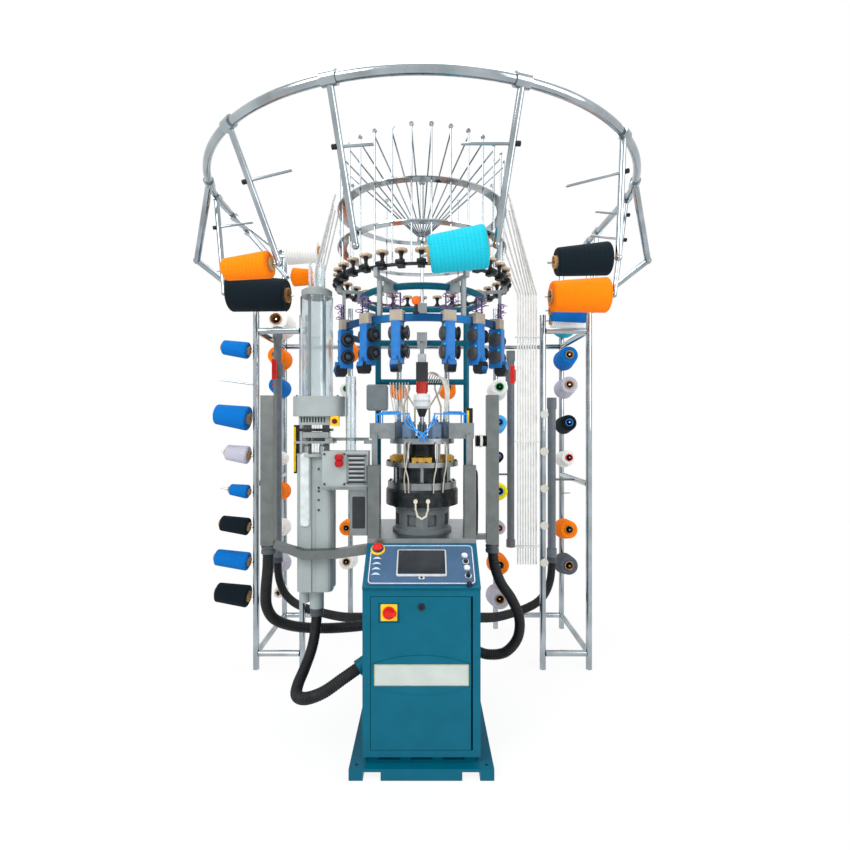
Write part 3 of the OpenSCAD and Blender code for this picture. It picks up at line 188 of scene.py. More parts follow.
class KnittingColours(bpy.types.PropertyGroup):
    """Colours of the paints, mouldings and yarns."""
    teal: colour_setting("Teal powder coat", "#00596f")
    grey: colour_setting("Grey paint", "#98a09f")
    foil: colour_setting("Console foil", "#3d5a78")
    feeder: colour_setting("Feeder moulding", "#1f68ac")
    air: colour_setting("Air tube", "#1f8fe0")
    signal_red: colour_setting("Red moulding", "#cf2019")
    signal_yellow: colour_setting("Yellow moulding", "#f3c613")
    orange: colour_setting("Orange yarn", "#ff7c0d")
    blue: colour_setting("Blue yarn", "#0d6bba")
    white: colour_setting("White yarn", "#eeede9")
    black: colour_setting("Black yarn", "#121c22")
    cyan: colour_setting("Cyan yarn", "#1fb0c4")
    lilac: colour_setting("Lilac yarn", "#b9b7c4")
    sky: colour_setting("Sky-blue yarn", "#57aee6")
    yellow: colour_setting("Yellow yarn", "#f3e01a")
    slate: colour_setting("Slate yarn", "#565b66")


class KnittingSizes(bpy.types.PropertyGroup):
    """Sizes of the pieces that the scene adds."""
    hose: length_setting("Hose diameter", "Outside diameter over the ribs", 0.050)
    rib_pitch: length_setting("Rib pitch", "Distance from rib to rib along a hose", 0.010)
    rib_depth: length_setting("Rib depth", "Depth of the groove between two ribs", 0.0024)
    thread: length_setting("Winding spacing", "Distance between the windings that show on a package", 0.0026)
    bore: length_setting("Package bore", "Radius of the hole for the pin", 0.0053)
    plate_width: length_setting("Name plate width", "Width of the blank plate on the door", 0.378)
    plate_height: length_setting("Name plate height", "Height of the blank plate on the door", 0.086)


class KnittingView(bpy.types.PropertyGroup):
    """Where the photograph was taken from."""
    distance: length_setting("Camera distance", "Distance of the camera in front of the cylinder's axis",
                             2.445)
    height: length_setting("Camera height", "Height of the camera above the floor", 1.40)
    side: length_setting("Camera offset", "Offset of the camera to the right of the cylinder's axis", 0.014)
    lens: bpy.props.FloatProperty(name="Lens", description="Focal length on a 36 mm sensor", default=22.02,
                                  min=10.0, subtype="DISTANCE_CAMERA")


# Surfaces

def placed(origin, x_axis, y_axis, z_axis):
    """Matrix that carries local axes to the given directions and the local origin to a point."""
    matrix = np.eye(4)
    matrix[:3, 0], matrix[:3, 1], matrix[:3, 2], matrix[:3, 3] = x_axis, y_axis, z_axis, origin
    return matrix


def at(*origin):
    """Matrix that only moves the local origin to a point."""
    return placed(origin, *np.eye(3))


def turned(origin, turn, tilt=0.0):
    """Matrix whose local +Z points along a turn about Z and a tilt above level, in degrees."""
    t, e = math.radians(turn), math.radians(tilt)
    forward = (math.cos(t) * math.cos(e), math.sin(t) * math.cos(e), math.sin(e))
    up = (-math.cos(t) * math.sin(e), -math.sin(t) * math.sin(e), math.cos(e))
    return placed(origin, np.negative(up), np.cross(forward, np.negative(up)), forward)


def ringed(turn, radius, height):
    """Matrix on a ring about the machine's axis, turned from the front: local -Y points outwards."""
    a = math.radians(turn)
    c, s = math.cos(a), math.sin(a)
    return placed((radius * s, -radius * c, height), (c, s, 0), (-s, c, 0), (0, 0, 1))


def about_axis(path):
    """Points given as (turn from the front in degrees, radius, height) about the machine's axis."""
    turn, radius, height = np.asarray(path, float).T
    turn = np.radians(turn)
    return np.column_stack([radius * np.sin(turn), -radius * np.cos(turn), height])


def on_arm(hoop_turn, lean, share=1.0):
    """Point on one of the hoop's arms, at a share of the way down from the hoop to the arm's end, which
    stands inwards by the lean in mm."""
    turn, radius = math.radians(hoop_turn), HOOP_RADIUS - share * lean / 1000
    drop = share * (HOOP_HEIGHT - ARM_END)
    return radius * math.sin(turn), HOOP_CENTRE - radius * math.cos(turn), HOOP_HEIGHT - drop


def on_console(across, up, out=0.0):
    """Matrix on the console's slope: local +Y runs up it and +Z points out of it."""
    c, s = math.cos(CONSOLE_SLOPE), math.sin(CONSOLE_SLOPE)
    y_axis, z_axis = np.array((0, c, s)), np.array((0, -s, c))
    origin = np.array(CONSOLE_EDGE) + across * np.array((1, 0, 0)) + up * y_axis + out * z_axis
    return placed(origin, (1, 0, 0), y_axis, z_axis)


def on_front(across, height, depth):
    """Matrix on an upright face that looks to the front: local +X runs right, +Y up and +Z forwards."""
    return placed((across, depth, height), (1, 0, 0), (0, 0, 1), (0, -1, 0))


def skin(points, wrap=False, scale=(1.0, 1.0)):
    """Skin over a grid of points, rows by columns: one quad for each cell. The columns close on themselves;
    the rows close too, or end in flat caps. The second result holds the quads' UVs: columns along u, rows
    along v."""
    rows, columns = points.shape[:2]
    i, j = np.meshgrid(np.arange(rows if wrap else rows - 1), np.arange(columns), indexing="ij")
    corner = np.stack([np.stack([i, i, i + 1, i + 1], -1), np.stack([j, j + 1, j + 1, j], -1)], -1)
    corner = corner.reshape(-1, 4, 2)
    quads = (corner[..., 0] % rows) * columns + corner[..., 1] % columns
    caps = [] if wrap else [np.arange(columns)[::-1].tolist(),
                            (np.arange(columns) + (rows - 1) * columns).tolist()]
    uv = np.stack([corner[..., 1] * scale[0] / columns, corner[..., 0] * scale[1] / rows], -1)
    return points.reshape(-1, 3), quads, caps, uv


def revolve(profile, sides=32, wrap=False, scale=(1.0, 1.0)):
    """Surface of revolution about local Z: each (radius, height) of the profile becomes one circle of
    points."""
    profile = np.asarray(profile, float)
    a = 2 * np.pi * np.arange(sides) / sides
    points = np.stack([profile[:, :1] * np.cos(a), profile[:, :1] * np.sin(a),
                       np.repeat(profile[:, 1:], sides, 1)], -1)
    return skin(points, wrap, scale)


def rounded_outline(width, height, radius, steps=5):
    """Rounded rectangle about the origin: four corner centres, each with a quarter circle of points."""
    a = np.radians(np.linspace(0, 90, steps + 1) + 90 * np.arange(4)[:, None])
    corners = np.array([[1, 1], [-1, 1], [-1, -1], [1, -1]])[:, None]
    centre = corners * (width / 2 - radius, height / 2 - radius)
    return (centre + radius * np.stack([np.cos(a), np.sin(a)], -1)).reshape(-1, 2)


def level(outline, height):
    """The outline's points at one height."""
    return np.column_stack([outline, np.full(len(outline), height)])


def slab(width, height, radius, thick, edge):
    """Plate with a rounded outline and a chamfered front edge: the outline at the back, below the edge and
    inset at the front."""
    levels = [(0.0, 0.0), (0.0, thick - edge), (edge, thick)]
    loops = [level(rounded_outline(width - 2 * inset, height - 2 * inset, max(radius - inset, 1e-4)), z)
             for inset, z in levels]
    return skin(np.stack(loops))


def frame_line(width, height, radius, line, thick):
    """Thin frame: the rounded outline and the same inset by the line's width, each at the back and at the
    front."""
    loops = [level(rounded_outline(width - 2 * inset, height - 2 * inset, radius - inset), z)
             for inset, z in ((0.0, 0.0), (0.0, thick), (line, thick), (line, 0.0))]
    return skin(np.stack(loops), True)


def smooth_line(points, steps=10):
    """Catmull-Rom curve through the points: each span is a cubic whose end slopes are half the chord between
    the neighbours."""
    p = np.asarray(points, float)
    p = np.vstack([2 * p[0] - p[1], p, 2 * p[-1] - p[-2]])
    t = (np.arange(steps) / steps)[None, :, None]
    a, b, c, d = (p[k:len(p) - 3 + k, None] for k in range(4))
    line = 0.5 * (2 * b + (c - a) * t + (2 * a - 5 * b + 4 * c - d) * t ** 2
                  + (3 * b - a - 3 * c + d) * t ** 3)
    return np.vstack([line.reshape(-1, 3), p[-2]])


def spaced(line, count):
    """Points at equal distances along the line, and those distances."""
    run = np.concatenate([[0], np.cumsum(np.linalg.norm(np.diff(line, axis=0), axis=1))])
    marks = np.linspace(0, run[-1], count)
    return np.stack([np.interp(marks, run, line[:, k]) for k in range(3)], -1), marks


def sweep(line, radius, sides=16, scale=(1.0, 1.0)):
    """Tube round a line: a circle in the plane of two directions across the tangent, one of them the nearest
    to a fixed direction that the line never follows."""
    along = np.gradient(line, axis=0)
    along /= np.linalg.norm(along, axis=1, keepdims=True)
    spread = np.linalg.svd(along)[2][-1]
    first = spread - along * (along @ spread)[:, None]
    first /= np.linalg.norm(first, axis=1, keepdims=True)
    second = np.cross(along, first)
    a = 2 * np.pi * np.arange(sides) / sides
    radius = np.broadcast_to(radius, len(line))[:, None, None]
    return skin(line[:, None] + radius * (first[:, None] * np.cos(a)[None, :, None]
                                          + second[:, None] * np.sin(a)[None, :, None]), scale=scale)


def copies(shape, matrices):
    """The shape at each matrix, as one shape."""
    points, quads, caps, uv = shape
    matrices = np.asarray(matrices, float)
    shift = len(points) * np.arange(len(matrices))
    moved = np.einsum("kij,nj->kni", matrices[:, :3, :3], points) + matrices[:, None, :3, 3]
    return (moved.reshape(-1, 3), (quads[None] + shift[:, None, None]).reshape(-1, 4),
            [[v + int(s) for v in cap] for s in shift for cap in caps], np.tile(uv, (len(matrices), 1, 1)))


def joined(shapes):
    """Several shapes as one."""
    start = np.cumsum([0] + [len(s[0]) for s in shapes])
    return (np.vstack([s[0] for s in shapes]), np.vstack([s[1] + n for s, n in zip(shapes, start)]),
            [[v + int(n) for v in cap] for s, n in zip(shapes, start) for cap in s[2]],
            np.concatenate([s[3] for s in shapes]))


def cap_screw():
    """Socket cap screw about its own axis: out along the flange, over the rounded head and down into the
    socket."""
    return revolve([(0.0020, 0.0), (0.0046, 0.0), (0.0046, 0.0046), (0.0038, 0.0055), (0.0020, 0.0050),
                    (0.0020, 0.0012)], 18, True)


def piece(name, shape, material, body="machine", sharp=40.0):
    """A finished piece from a shape: smooth but for edges sharper than the angle, on a body, with its
    finish."""
    points, quads, caps, uv = shape
    mesh = bpy.data.meshes.new(name)
    mesh.from_pydata(points.tolist(), [], quads.tolist() + caps)
    layer = mesh.uv_layers.new(name="surface")
    loops = np.zeros((len(mesh.loops), 2), np.float32)
    loops[:4 * len(quads)] = uv.reshape(-1, 2)
    layer.data.foreach_set("uv", loops.ravel())
    mesh.shade_smooth()
    mesh.set_sharp_from_angle(angle=math.radians(sharp))
    mesh.materials.append(material)
    made = bpy.data.objects.new(name, mesh)
    bpy.context.scene.collection.objects.link(made)
    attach(made, body)
    return made


# Finishes

def linear(hex_colour, factor=1.0):
    """sRGB hex value as linear RGBA, times a factor for a lighter or darker shade."""
    srgb = np.array([int(hex_colour[k:k + 2], 16) / 255 for k in (1, 3, 5)])
    value = np.where(srgb <= 0.04045, srgb / 12.92, ((srgb + 0.055) / 1.055) ** 2.4)
    return (*np.clip(value * factor, 0, 1).tolist(), 1.0)


def per_mm(size):
    """Texture scale on coordinates in metres whose features are that many millimetres across."""
    return 1000.0 / size


def band_scale(spacing):
    """Scale of a wave texture whose bands lie that many metres apart: at scale 1 it has 20 / 2 pi bands to a
    metre."""
    return 2 * math.pi / 20 / spacing


def add_node(tree, kind, settings=None, links=None):
    """One node with its settings and links. A key is an input's name or number, or a property of the node;
    stops are a ramp's (place, colour) pairs."""
    node = tree.nodes.new(kind)
    for key, value in (settings or {}).items():
        if key == "stops":
            ramp = node.color_ramp.elements
            while len(ramp) < len(value):
                ramp.new(1.0)
            for stop, (place, colour) in zip(ramp, value):
                stop.position, stop.color = place, colour
        elif isinstance(key, int) or key in node.inputs:
            node.inputs[key].default_value = value
        else:
            setattr(node, key, value)
    for key, socket in (links or {}).items():
        tree.links.new(socket, node.inputs[key])
    return node


def new_finish(name, hex_colour, metallic, roughness, **sockets):
    """Material with its constant values on the shader's own sockets. Also gives its tree, its shader, and the
    Object coordinates that its pattern reads."""
    material = bpy.data.materials.new(name)
    material.use_nodes = True
    tree = material.node_tree
    tree.nodes.clear()
    shader = add_node(tree, "ShaderNodeBsdfPrincipled",
                      {"Base Color": linear(hex_colour), "Metallic": metallic, "Roughness": roughness})
    for key, value in sockets.items():
        shader.inputs[key.replace("_", " ")].default_value = value
    add_node(tree, "ShaderNodeOutputMaterial", links={"Surface": shader.outputs["BSDF"]})
    return material, tree, shader, add_node(tree, "ShaderNodeTexCoord").outputs["Object"]


def cloud(tree, place, size, shader_input, low, high, detail=3.0):
    """Cloudy change of one of the shader's inputs between two values or colours, with patches of a size in
    mm."""
    noise = add_node(tree, "ShaderNodeTexNoise", {"Scale": per_mm(size), "Detail": detail}, {"Vector": place})
    if isinstance(low, tuple):
        spread = add_node(tree, "ShaderNodeValToRGB", {"stops": [(0.32, low), (0.68, high)]},
                          {"Fac": noise.outputs["Fac"]})
        tree.links.new(spread.outputs["Color"], shader_input)
    else:
        spread = add_node(tree, "ShaderNodeMapRange", {"From Min": 0.32, "From Max": 0.68, "To Min": low,
                                                       "To Max": high}, {"Value": noise.outputs["Fac"]})
        tree.links.new(spread.outputs["Result"], shader_input)


def relief(tree, shader, height, depth, strength):
    """Bump from a height pattern whose full range is that many millimetres deep."""
    bump = add_node(tree, "ShaderNodeBump", {"Strength": strength, "Distance": depth / 1000},
                    {"Height": height})
    tree.links.new(bump.outputs["Normal"], shader.inputs["Normal"])


def powder_coat(name, hex_colour, roughness=0.34):
    """Powder-coated sheet steel: an even colour with a slight orange peel that breaks up its highlights."""
    material, tree, shader, place = new_finish(name, hex_colour, 0.0, roughness, Specular_IOR_Level=0.14)
    cloud(tree, place, 90, shader.inputs["Base Color"], linear(hex_colour, 0.93), linear(hex_colour, 1.05))
    cloud(tree, place, 55, shader.inputs["Roughness"], roughness - 0.06, roughness + 0.08)
    # The peel's real size is about 1.5 mm; at twice that it still shows in a close view
    peel = add_node(tree, "ShaderNodeTexNoise", {"Scale": per_mm(3), "Detail": 1.0}, {"Vector": place})
    relief(tree, shader, peel.outputs["Fac"], 0.4, 0.16)
    return material


def chrome_plate(name, hex_colour="#a7b0b5"):
    """Bright chrome on drawn tube: mirror-like, with faint smears from handling along it."""
    material, tree, shader, place = new_finish(name, hex_colour, 1.0, 0.1)
    cloud(tree, place, 60, shader.inputs["Roughness"], 0.06, 0.2)
    cloud(tree, place, 140, shader.inputs["Base Color"], linear(hex_colour, 0.72), linear(hex_colour, 1.12))
    return material


def brushed_metal(name, hex_colour, roughness, stretch=(1.0, 1.0, 0.04)):
    """Ground or brushed metal: fine scratches in one direction stretch the highlights across them."""
    material, tree, shader, place = new_finish(name, hex_colour, 1.0, roughness)
    drawn = add_node(tree, "ShaderNodeMapping", {"Scale": stretch}, {"Vector": place})
    brush = add_node(tree, "ShaderNodeTexNoise", {"Scale": per_mm(1.2), "Detail": 4.0},
                     {"Vector": drawn.outputs[0]})
    spread = add_node(tree, "ShaderNodeMapRange", {"To Min": roughness - 0.1, "To Max": roughness + 0.12},
                      {"Value": brush.outputs["Fac"]})
    tree.links.new(spread.outputs["Result"], shader.inputs["Roughness"])
    cloud(tree, place, 45, shader.inputs["Base Color"], linear(hex_colour, 0.86), linear(hex_colour, 1.06))
    relief(tree, shader, brush.outputs["Fac"], 0.08, 0.2)
    return material


def painted_casting(name, hex_colour, roughness=0.46):
    """Paint over a sand casting: the grain of the sand shows through as a soft pebbled skin."""
    material, tree, shader, place = new_finish(name, hex_colour, 0.0, roughness, Specular_IOR_Level=0.25)
    cloud(tree, place, 40, shader.inputs["Base Color"], linear(hex_colour, 0.88), linear(hex_colour, 1.08))
    grain = add_node(tree, "ShaderNodeTexNoise", {"Scale": per_mm(5), "Detail": 3.0}, {"Vector": place})
    relief(tree, shader, grain.outputs["Fac"], 1.0, 0.22)
    return material


def black_oxide(name, hex_colour="#26292c"):
    """Blackened steel: a dark, oily metal with brighter rubbed patches."""
    material, tree, shader, place = new_finish(name, hex_colour, 0.85, 0.36)
    cloud(tree, place, 26, shader.inputs["Base Color"], linear(hex_colour, 0.7), linear(hex_colour, 1.9), 5.0)
    cloud(tree, place, 18, shader.inputs["Roughness"], 0.26, 0.5)
    return material


def machined_brass(name, hex_colour="#c9a250"):
    """Milled brass: warm metal, dulled unevenly by tarnish."""
    material, tree, shader, place = new_finish(name, hex_colour, 1.0, 0.28)
    cloud(tree, place, 14, shader.inputs["Base Color"], linear(hex_colour, 0.68), linear(hex_colour, 1.1),
          5.0)
    cloud(tree, place, 22, shader.inputs["Roughness"], 0.2, 0.42)
    return material


def moulding(name, hex_colour, roughness=0.42):
    """Injection-moulded ABS: the eroded grain of the mould gives it a soft, dry gloss."""
    material, tree, shader, place = new_finish(name, hex_colour, 0.0, roughness, Specular_IOR_Level=0.2)
    cloud(tree, place, 30, shader.inputs["Base Color"], linear(hex_colour, 0.88), linear(hex_colour, 1.1))
    # The grain's real size is 0.3 mm; it is drawn at 1.5 mm, the finest that shows in a close view
    grain = add_node(tree, "ShaderNodeTexNoise", {"Scale": per_mm(1.5), "Detail": 2.0}, {"Vector": place})
    relief(tree, shader, grain.outputs["Fac"], 0.15, 0.25)
    return material


def extruded_tube(name, hex_colour, roughness=0.26):
    """Extruded nylon or PVC tube: smooth and glossy, with slow bands from the take-off."""
    material, tree, shader, place = new_finish(name, hex_colour, 0.0, roughness)
    cloud(tree, place, 35, shader.inputs["Base Color"], linear(hex_colour, 0.86), linear(hex_colour, 1.08))
    cloud(tree, place, 20, shader.inputs["Roughness"], roughness - 0.08, roughness + 0.12)
    return material


def glazed_ceramic(name, hex_colour="#b8a184"):
    """Oxide ceramic of a yarn brake: dense, tan and slightly speckled."""
    material, tree, shader, place = new_finish(name, hex_colour, 0.0, 0.3)
    cloud(tree, place, 4, shader.inputs["Base Color"], linear(hex_colour, 0.74), linear(hex_colour, 1.12),
          4.0)
    return material


def brake_ceramic(name, tan, pale):
    """Ceramic of the yarn brakes: tan and speckled on the ring, and pale on the discs of the right post,
    which lie more than 0.55 m from the centre plane."""
    material, tree, shader, place = new_finish(name, tan, 0.0, 0.34)
    across = add_node(tree, "ShaderNodeSeparateXYZ", links={0: place}).outputs["X"]
    outer = add_node(tree, "ShaderNodeMath", {"operation": "GREATER_THAN", 1: 0.55}, {0: across})
    speckle = add_node(tree, "ShaderNodeTexNoise", {"Scale": per_mm(4), "Detail": 4.0}, {"Vector": place})
    tones = [add_node(tree, "ShaderNodeValToRGB", {"stops": [(0.32, linear(tone, 0.78)),
                                                             (0.68, linear(tone, 1.1))]},
                      {"Fac": speckle.outputs["Fac"]}) for tone in (tan, pale)]
    mixed = add_node(tree, "ShaderNodeMix", {"data_type": "RGBA"})
    for socket, source in ((0, outer.outputs[0]), (6, tones[0].outputs[0]), (7, tones[1].outputs[0])):
        tree.links.new(source, mixed.inputs[socket])
    tree.links.new(mixed.outputs[2], shader.inputs["Base Color"])
    return material


def clear_acrylic(name):
    """Extruded acrylic tube: clear with a cool tint, and slightly hazed by fine scratches."""
    material, tree, shader, place = new_finish(name, "#e9f1f4", 0.0, 0.04, IOR=1.49, Transmission_Weight=0.96)
    cloud(tree, place, 30, shader.inputs["Roughness"], 0.02, 0.12)
    return material


def ribbed_rubber(name, hex_colour="#141517"):
    """Corrugated suction hose: dull black, a little greyer where dust lies in the grooves."""
    material, tree, shader, place = new_finish(name, hex_colour, 0.0, 0.5, Specular_IOR_Level=0.2)
    cloud(tree, place, 60, shader.inputs["Base Color"], linear(hex_colour, 0.8), linear(hex_colour, 1.8), 5.0)
    cloud(tree, place, 25, shader.inputs["Roughness"], 0.4, 0.62)
    return material


def kraft_core(name, hex_colour):
    """Wound kraft-paper cone: brown and matt, with the spiral of its strips."""
    material, tree, shader, place = new_finish(name, hex_colour, 0.0, 0.8)
    strips = add_node(tree, "ShaderNodeTexWave", {"Scale": band_scale(0.0395), "Distortion": 1.0},
                      {"Vector": place})
    shade = add_node(tree, "ShaderNodeValToRGB", {"stops": [(0.2, linear(hex_colour, 0.8)),
                                                            (0.7, linear(hex_colour, 1.1))]},
                     {"Fac": strips.outputs["Fac"]})
    tree.links.new(shade.outputs["Color"], shader.inputs["Base Color"])
    return material


def wound_yarn(name, hex_colour, spacing):
    """Cross-wound textured yarn: threads lie in two crossing spirals, with a painted highlight on their
    crests and painted shade between them, and a soft fuzz that lightens the rim. UVs are metres round and
    along the package."""
    material, tree, shader, _ = new_finish(name, hex_colour, 0.0, 0.9, Specular_IOR_Level=0.05,
                                           Sheen_Weight=0.04)
    flat = add_node(tree, "ShaderNodeTexCoord").outputs["UV"]
    heights = []
    for lean in (24, -24):
        leaned = add_node(tree, "ShaderNodeMapping", {"Rotation": (0, 0, math.radians(90 + lean))},
                          {"Vector": flat})
        wave = add_node(tree, "ShaderNodeTexWave", {"Scale": band_scale(spacing), "Distortion": 1.2,
                                                    "Detail": 2.0, "Detail Scale": 2.5},
                        {"Vector": leaned.outputs[0]})
        heights.append(wave.outputs["Fac"])
    crossed = add_node(tree, "ShaderNodeMath", {"operation": "MAXIMUM"}, {0: heights[0], 1: heights[1]})
    fuzz = add_node(tree, "ShaderNodeTexNoise", {"Scale": per_mm(18), "Detail": 5.0}, {"Vector": flat})
    # The colour follows the threads: painted highlight on the crests and painted shade in the hollows between
    # them, with random fuzz on top.
    crest_light_and_fuzz = add_node(tree, "ShaderNodeMath", {"operation": "MULTIPLY_ADD", 1: 0.55}, {0: fuzz.outputs["Fac"],
                                                                                    2: crossed.outputs[0]})
    shade = add_node(tree, "ShaderNodeValToRGB", {"stops": [(0.3, linear(hex_colour, 0.66)),
                                                            (0.75, linear(hex_colour, 0.95)),
                                                            (1.0, linear(hex_colour, 1.08))]},
                     {"Fac": crest_light_and_fuzz.outputs[0]})
    tree.links.new(shade.outputs["Color"], shader.inputs["Base Color"])
    relief(tree, shader, crossed.outputs[0], 0.8, 0.5)
    return material


def printed_foil(name, hex_colour):
    """Printed polyester foil of the console: matt, faintly grained, slightly worn round the controls."""
    material, tree, shader, place = new_finish(name, hex_colour, 0.0, 0.42, Specular_IOR_Level=0.2)
    cloud(tree, place, 70, shader.inputs["Base Color"], linear(hex_colour, 0.9), linear(hex_colour, 1.1))
    cloud(tree, place, 12, shader.inputs["Roughness"], 0.34, 0.5)
    return material


def screen_glass(name, hex_colour="#10171e"):
    """Switched-off touch screen: near black under glass, with soft lighter, bluer patches painted into its
    colour as a painted reflection.
    """
    material, tree, shader, place = new_finish(name, hex_colour, 0.0, 0.2, Specular_IOR_Level=0.2)
    # Soft patches up to nearly twice as bright: painted reflection on the dark glass.
    cloud(tree, place, 120, shader.inputs["Base Color"], linear(hex_colour, 0.7), linear(hex_colour, 1.9),
          1.0)
    cloud(tree, place, 50, shader.inputs["Roughness"], 0.1, 0.22)
    return material


def banded_head(name):
    """The dial head's stack, from its height in metres: black tip, white housing, red knurled cap, black
    terminal box and bright fitting."""
    material, tree, shader, place = new_finish(name, "#d9dbdc", 0.0, 0.36)
    height = add_node(tree, "ShaderNodeSeparateXYZ", links={0: place}).outputs["Z"]
    foot, top = 1.43, 1.74
    share = add_node(tree, "ShaderNodeMapRange", {"From Min": foot, "From Max": top}, {"Value": height})
    bands = [(foot, "#26282b"), (1.475, "#dfe1e0"), (1.506, "#c9cdce"), (1.516, "#eceded"),
             (1.5455, "#c3241b"), (1.6015, "#232528"), (1.6925, "#b9bec1")]
    stops = [((z - foot) / (top - foot), linear(colour)) for z, colour in bands]
    ramp = add_node(tree, "ShaderNodeValToRGB", {"stops": stops}, {"Fac": share.outputs["Result"]})
    ramp.color_ramp.interpolation = "CONSTANT"
    grain = add_node(tree, "ShaderNodeTexNoise", {"Scale": per_mm(12), "Detail": 3.0}, {"Vector": place})
    worn = add_node(tree, "ShaderNodeMapRange", {"To Min": 0.82, "To Max": 1.1},
                    {"Value": grain.outputs["Fac"]})
    shade = add_node(tree, "ShaderNodeVectorMath", {"operation": "SCALE"}, {0: ramp.outputs["Color"],
                                                                           "Scale": worn.outputs["Result"]})
    tree.links.new(shade.outputs["Vector"], shader.inputs["Base Color"])
    relief(tree, shader, grain.outputs["Fac"], 0.3, 0.15)
    return material


# Operators

class KNIT_OT_finishes(bpy.types.Operator):
    """Give every CAD node the finish of its material slot, and a few nodes one of their own."""
    bl_idname = "knit.finishes"
    bl_label = "Finish the CAD nodes"

    def execute(self, context):
        colours = context.scene.knitting_colours
        finishes = {
            "teal_paint": powder_coat("teal powder coat", colours.teal),
            "zinc_plate": brushed_metal("zinc-plated steel", "#878c8e", 0.42),
            "console_foil": printed_foil("printed console foil", colours.foil),
            "screen_frame": moulding("silver screen moulding", "#b4babe", 0.36),
            "machined_steel": brushed_metal("ground steel", "#8b9194", 0.32, (0.05, 1.0, 1.0)),
            "satin_aluminium": brushed_metal("satin anodised aluminium", "#777d7c", 0.4),
            "cast_grey": painted_casting("grey painted casting", "#656c6e"),
            "black_oxide": black_oxide("blackened steel"),
            "brass": machined_brass("milled brass"),
            "slate_moulding": moulding("slate moulding", "#5f748a"),
            "dark_moulding": moulding("charcoal moulding", "#464a4e"),
            "blue_tube": extruded_tube("blue air tube", colours.air),
            "cream_tube": extruded_tube("cream cable sheath", "#cbc4b1", 0.4),
            "zinc_casting": painted_casting("die-cast zinc", "#8d9395", 0.4),
            "blue_anodised": brushed_metal("blue anodised bar", "#1c4d7a", 0.4),
            "feeder_blue": moulding("blue feeder moulding", colours.feeder, 0.36),
            "black_moulding": moulding("black moulding", "#1d1f22", 0.38),
            "tan_ceramic": glazed_ceramic("tan brake ceramic"),
            "chrome": chrome_plate("chromed tube"),
            "white_tube": extruded_tube("white yarn tube", "#dcdeda", 0.34),
            "yarn": wound_yarn("wound yarn", colours.white, context.scene.knitting_sizes.thread),
            "grey_paint": powder_coat("grey paint", colours.grey, 0.4),
            "clear_acrylic": clear_acrylic("clear acrylic"),
            "grey_pvc": extruded_tube("grey PVC pipe", "#626a70", 0.36),
            "hose_black": ribbed_rubber("black ribbed hose"),
            "red_plastic": moulding("red moulding", colours.signal_red, 0.3),
            "white_plastic": moulding("white moulding", "#e4e4e0", 0.34),
        }
        own = {"dial_head": banded_head("dial head stack"),
               "selector_boxes": moulding("grey selector casing", "#767c7d"),
               "tension_discs": brake_ceramic("brake disc ceramic", "#b59c7e", "#cfccc2")}
        for part in frame["record"]["subparts"]:
            node = frame["nodes"][part["node"]]
            for slot in node.material_slots:
                slot.material = own.get(part["node"], finishes[part["material_slot"]])
        return {"FINISHED"}


class KNIT_OT_hoses(bpy.types.Operator):
    """Lay the five ribbed suction hoses: a circle carried along each route, its radius a cosine of the way
    run, so that one rib follows the other."""
    bl_idname = "knit.hoses"
    bl_label = "Suction hoses"

    def execute(self, context):
        sizes = context.scene.knitting_sizes
        rubber = bpy.data.materials["black ribbed hose"]
        ends = []
        for name, route in HOSE_ROUTES.items():
            line = smooth_line(route)
            length = float(np.linalg.norm(np.diff(line, axis=0), axis=1).sum())
            line, run = spaced(line, 5 * round(length / sizes.rib_pitch) + 1)
            groove = 0.5 + 0.5 * np.cos(2 * np.pi * run / sizes.rib_pitch)
            radius = sizes.hose / 2 - sizes.rib_depth * groove
            hose = piece(name + "_ribbed", sweep(line, radius, 20, (sizes.hose * math.pi, length)), rubber,
                         sharp=80)
            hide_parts(name)
            ends.append(placed(route[0], (1, 0, 0), (0, -1, 0), (0, 0, -1)))
        collar = revolve([(0.0255, 0.0004), (0.0315, 0.0004), (0.0315, 0.010), (0.0290, 0.012),
                          (0.0290, 0.017), (0.0315, 0.019), (0.0315, 0.032), (0.0300, 0.035),
                          (0.0262, 0.035)], 36, True)
        piece("hose_collars", copies(collar, ends), moulding("grey hose collar", "#4a4f53", 0.4))
        return {"FINISHED"}


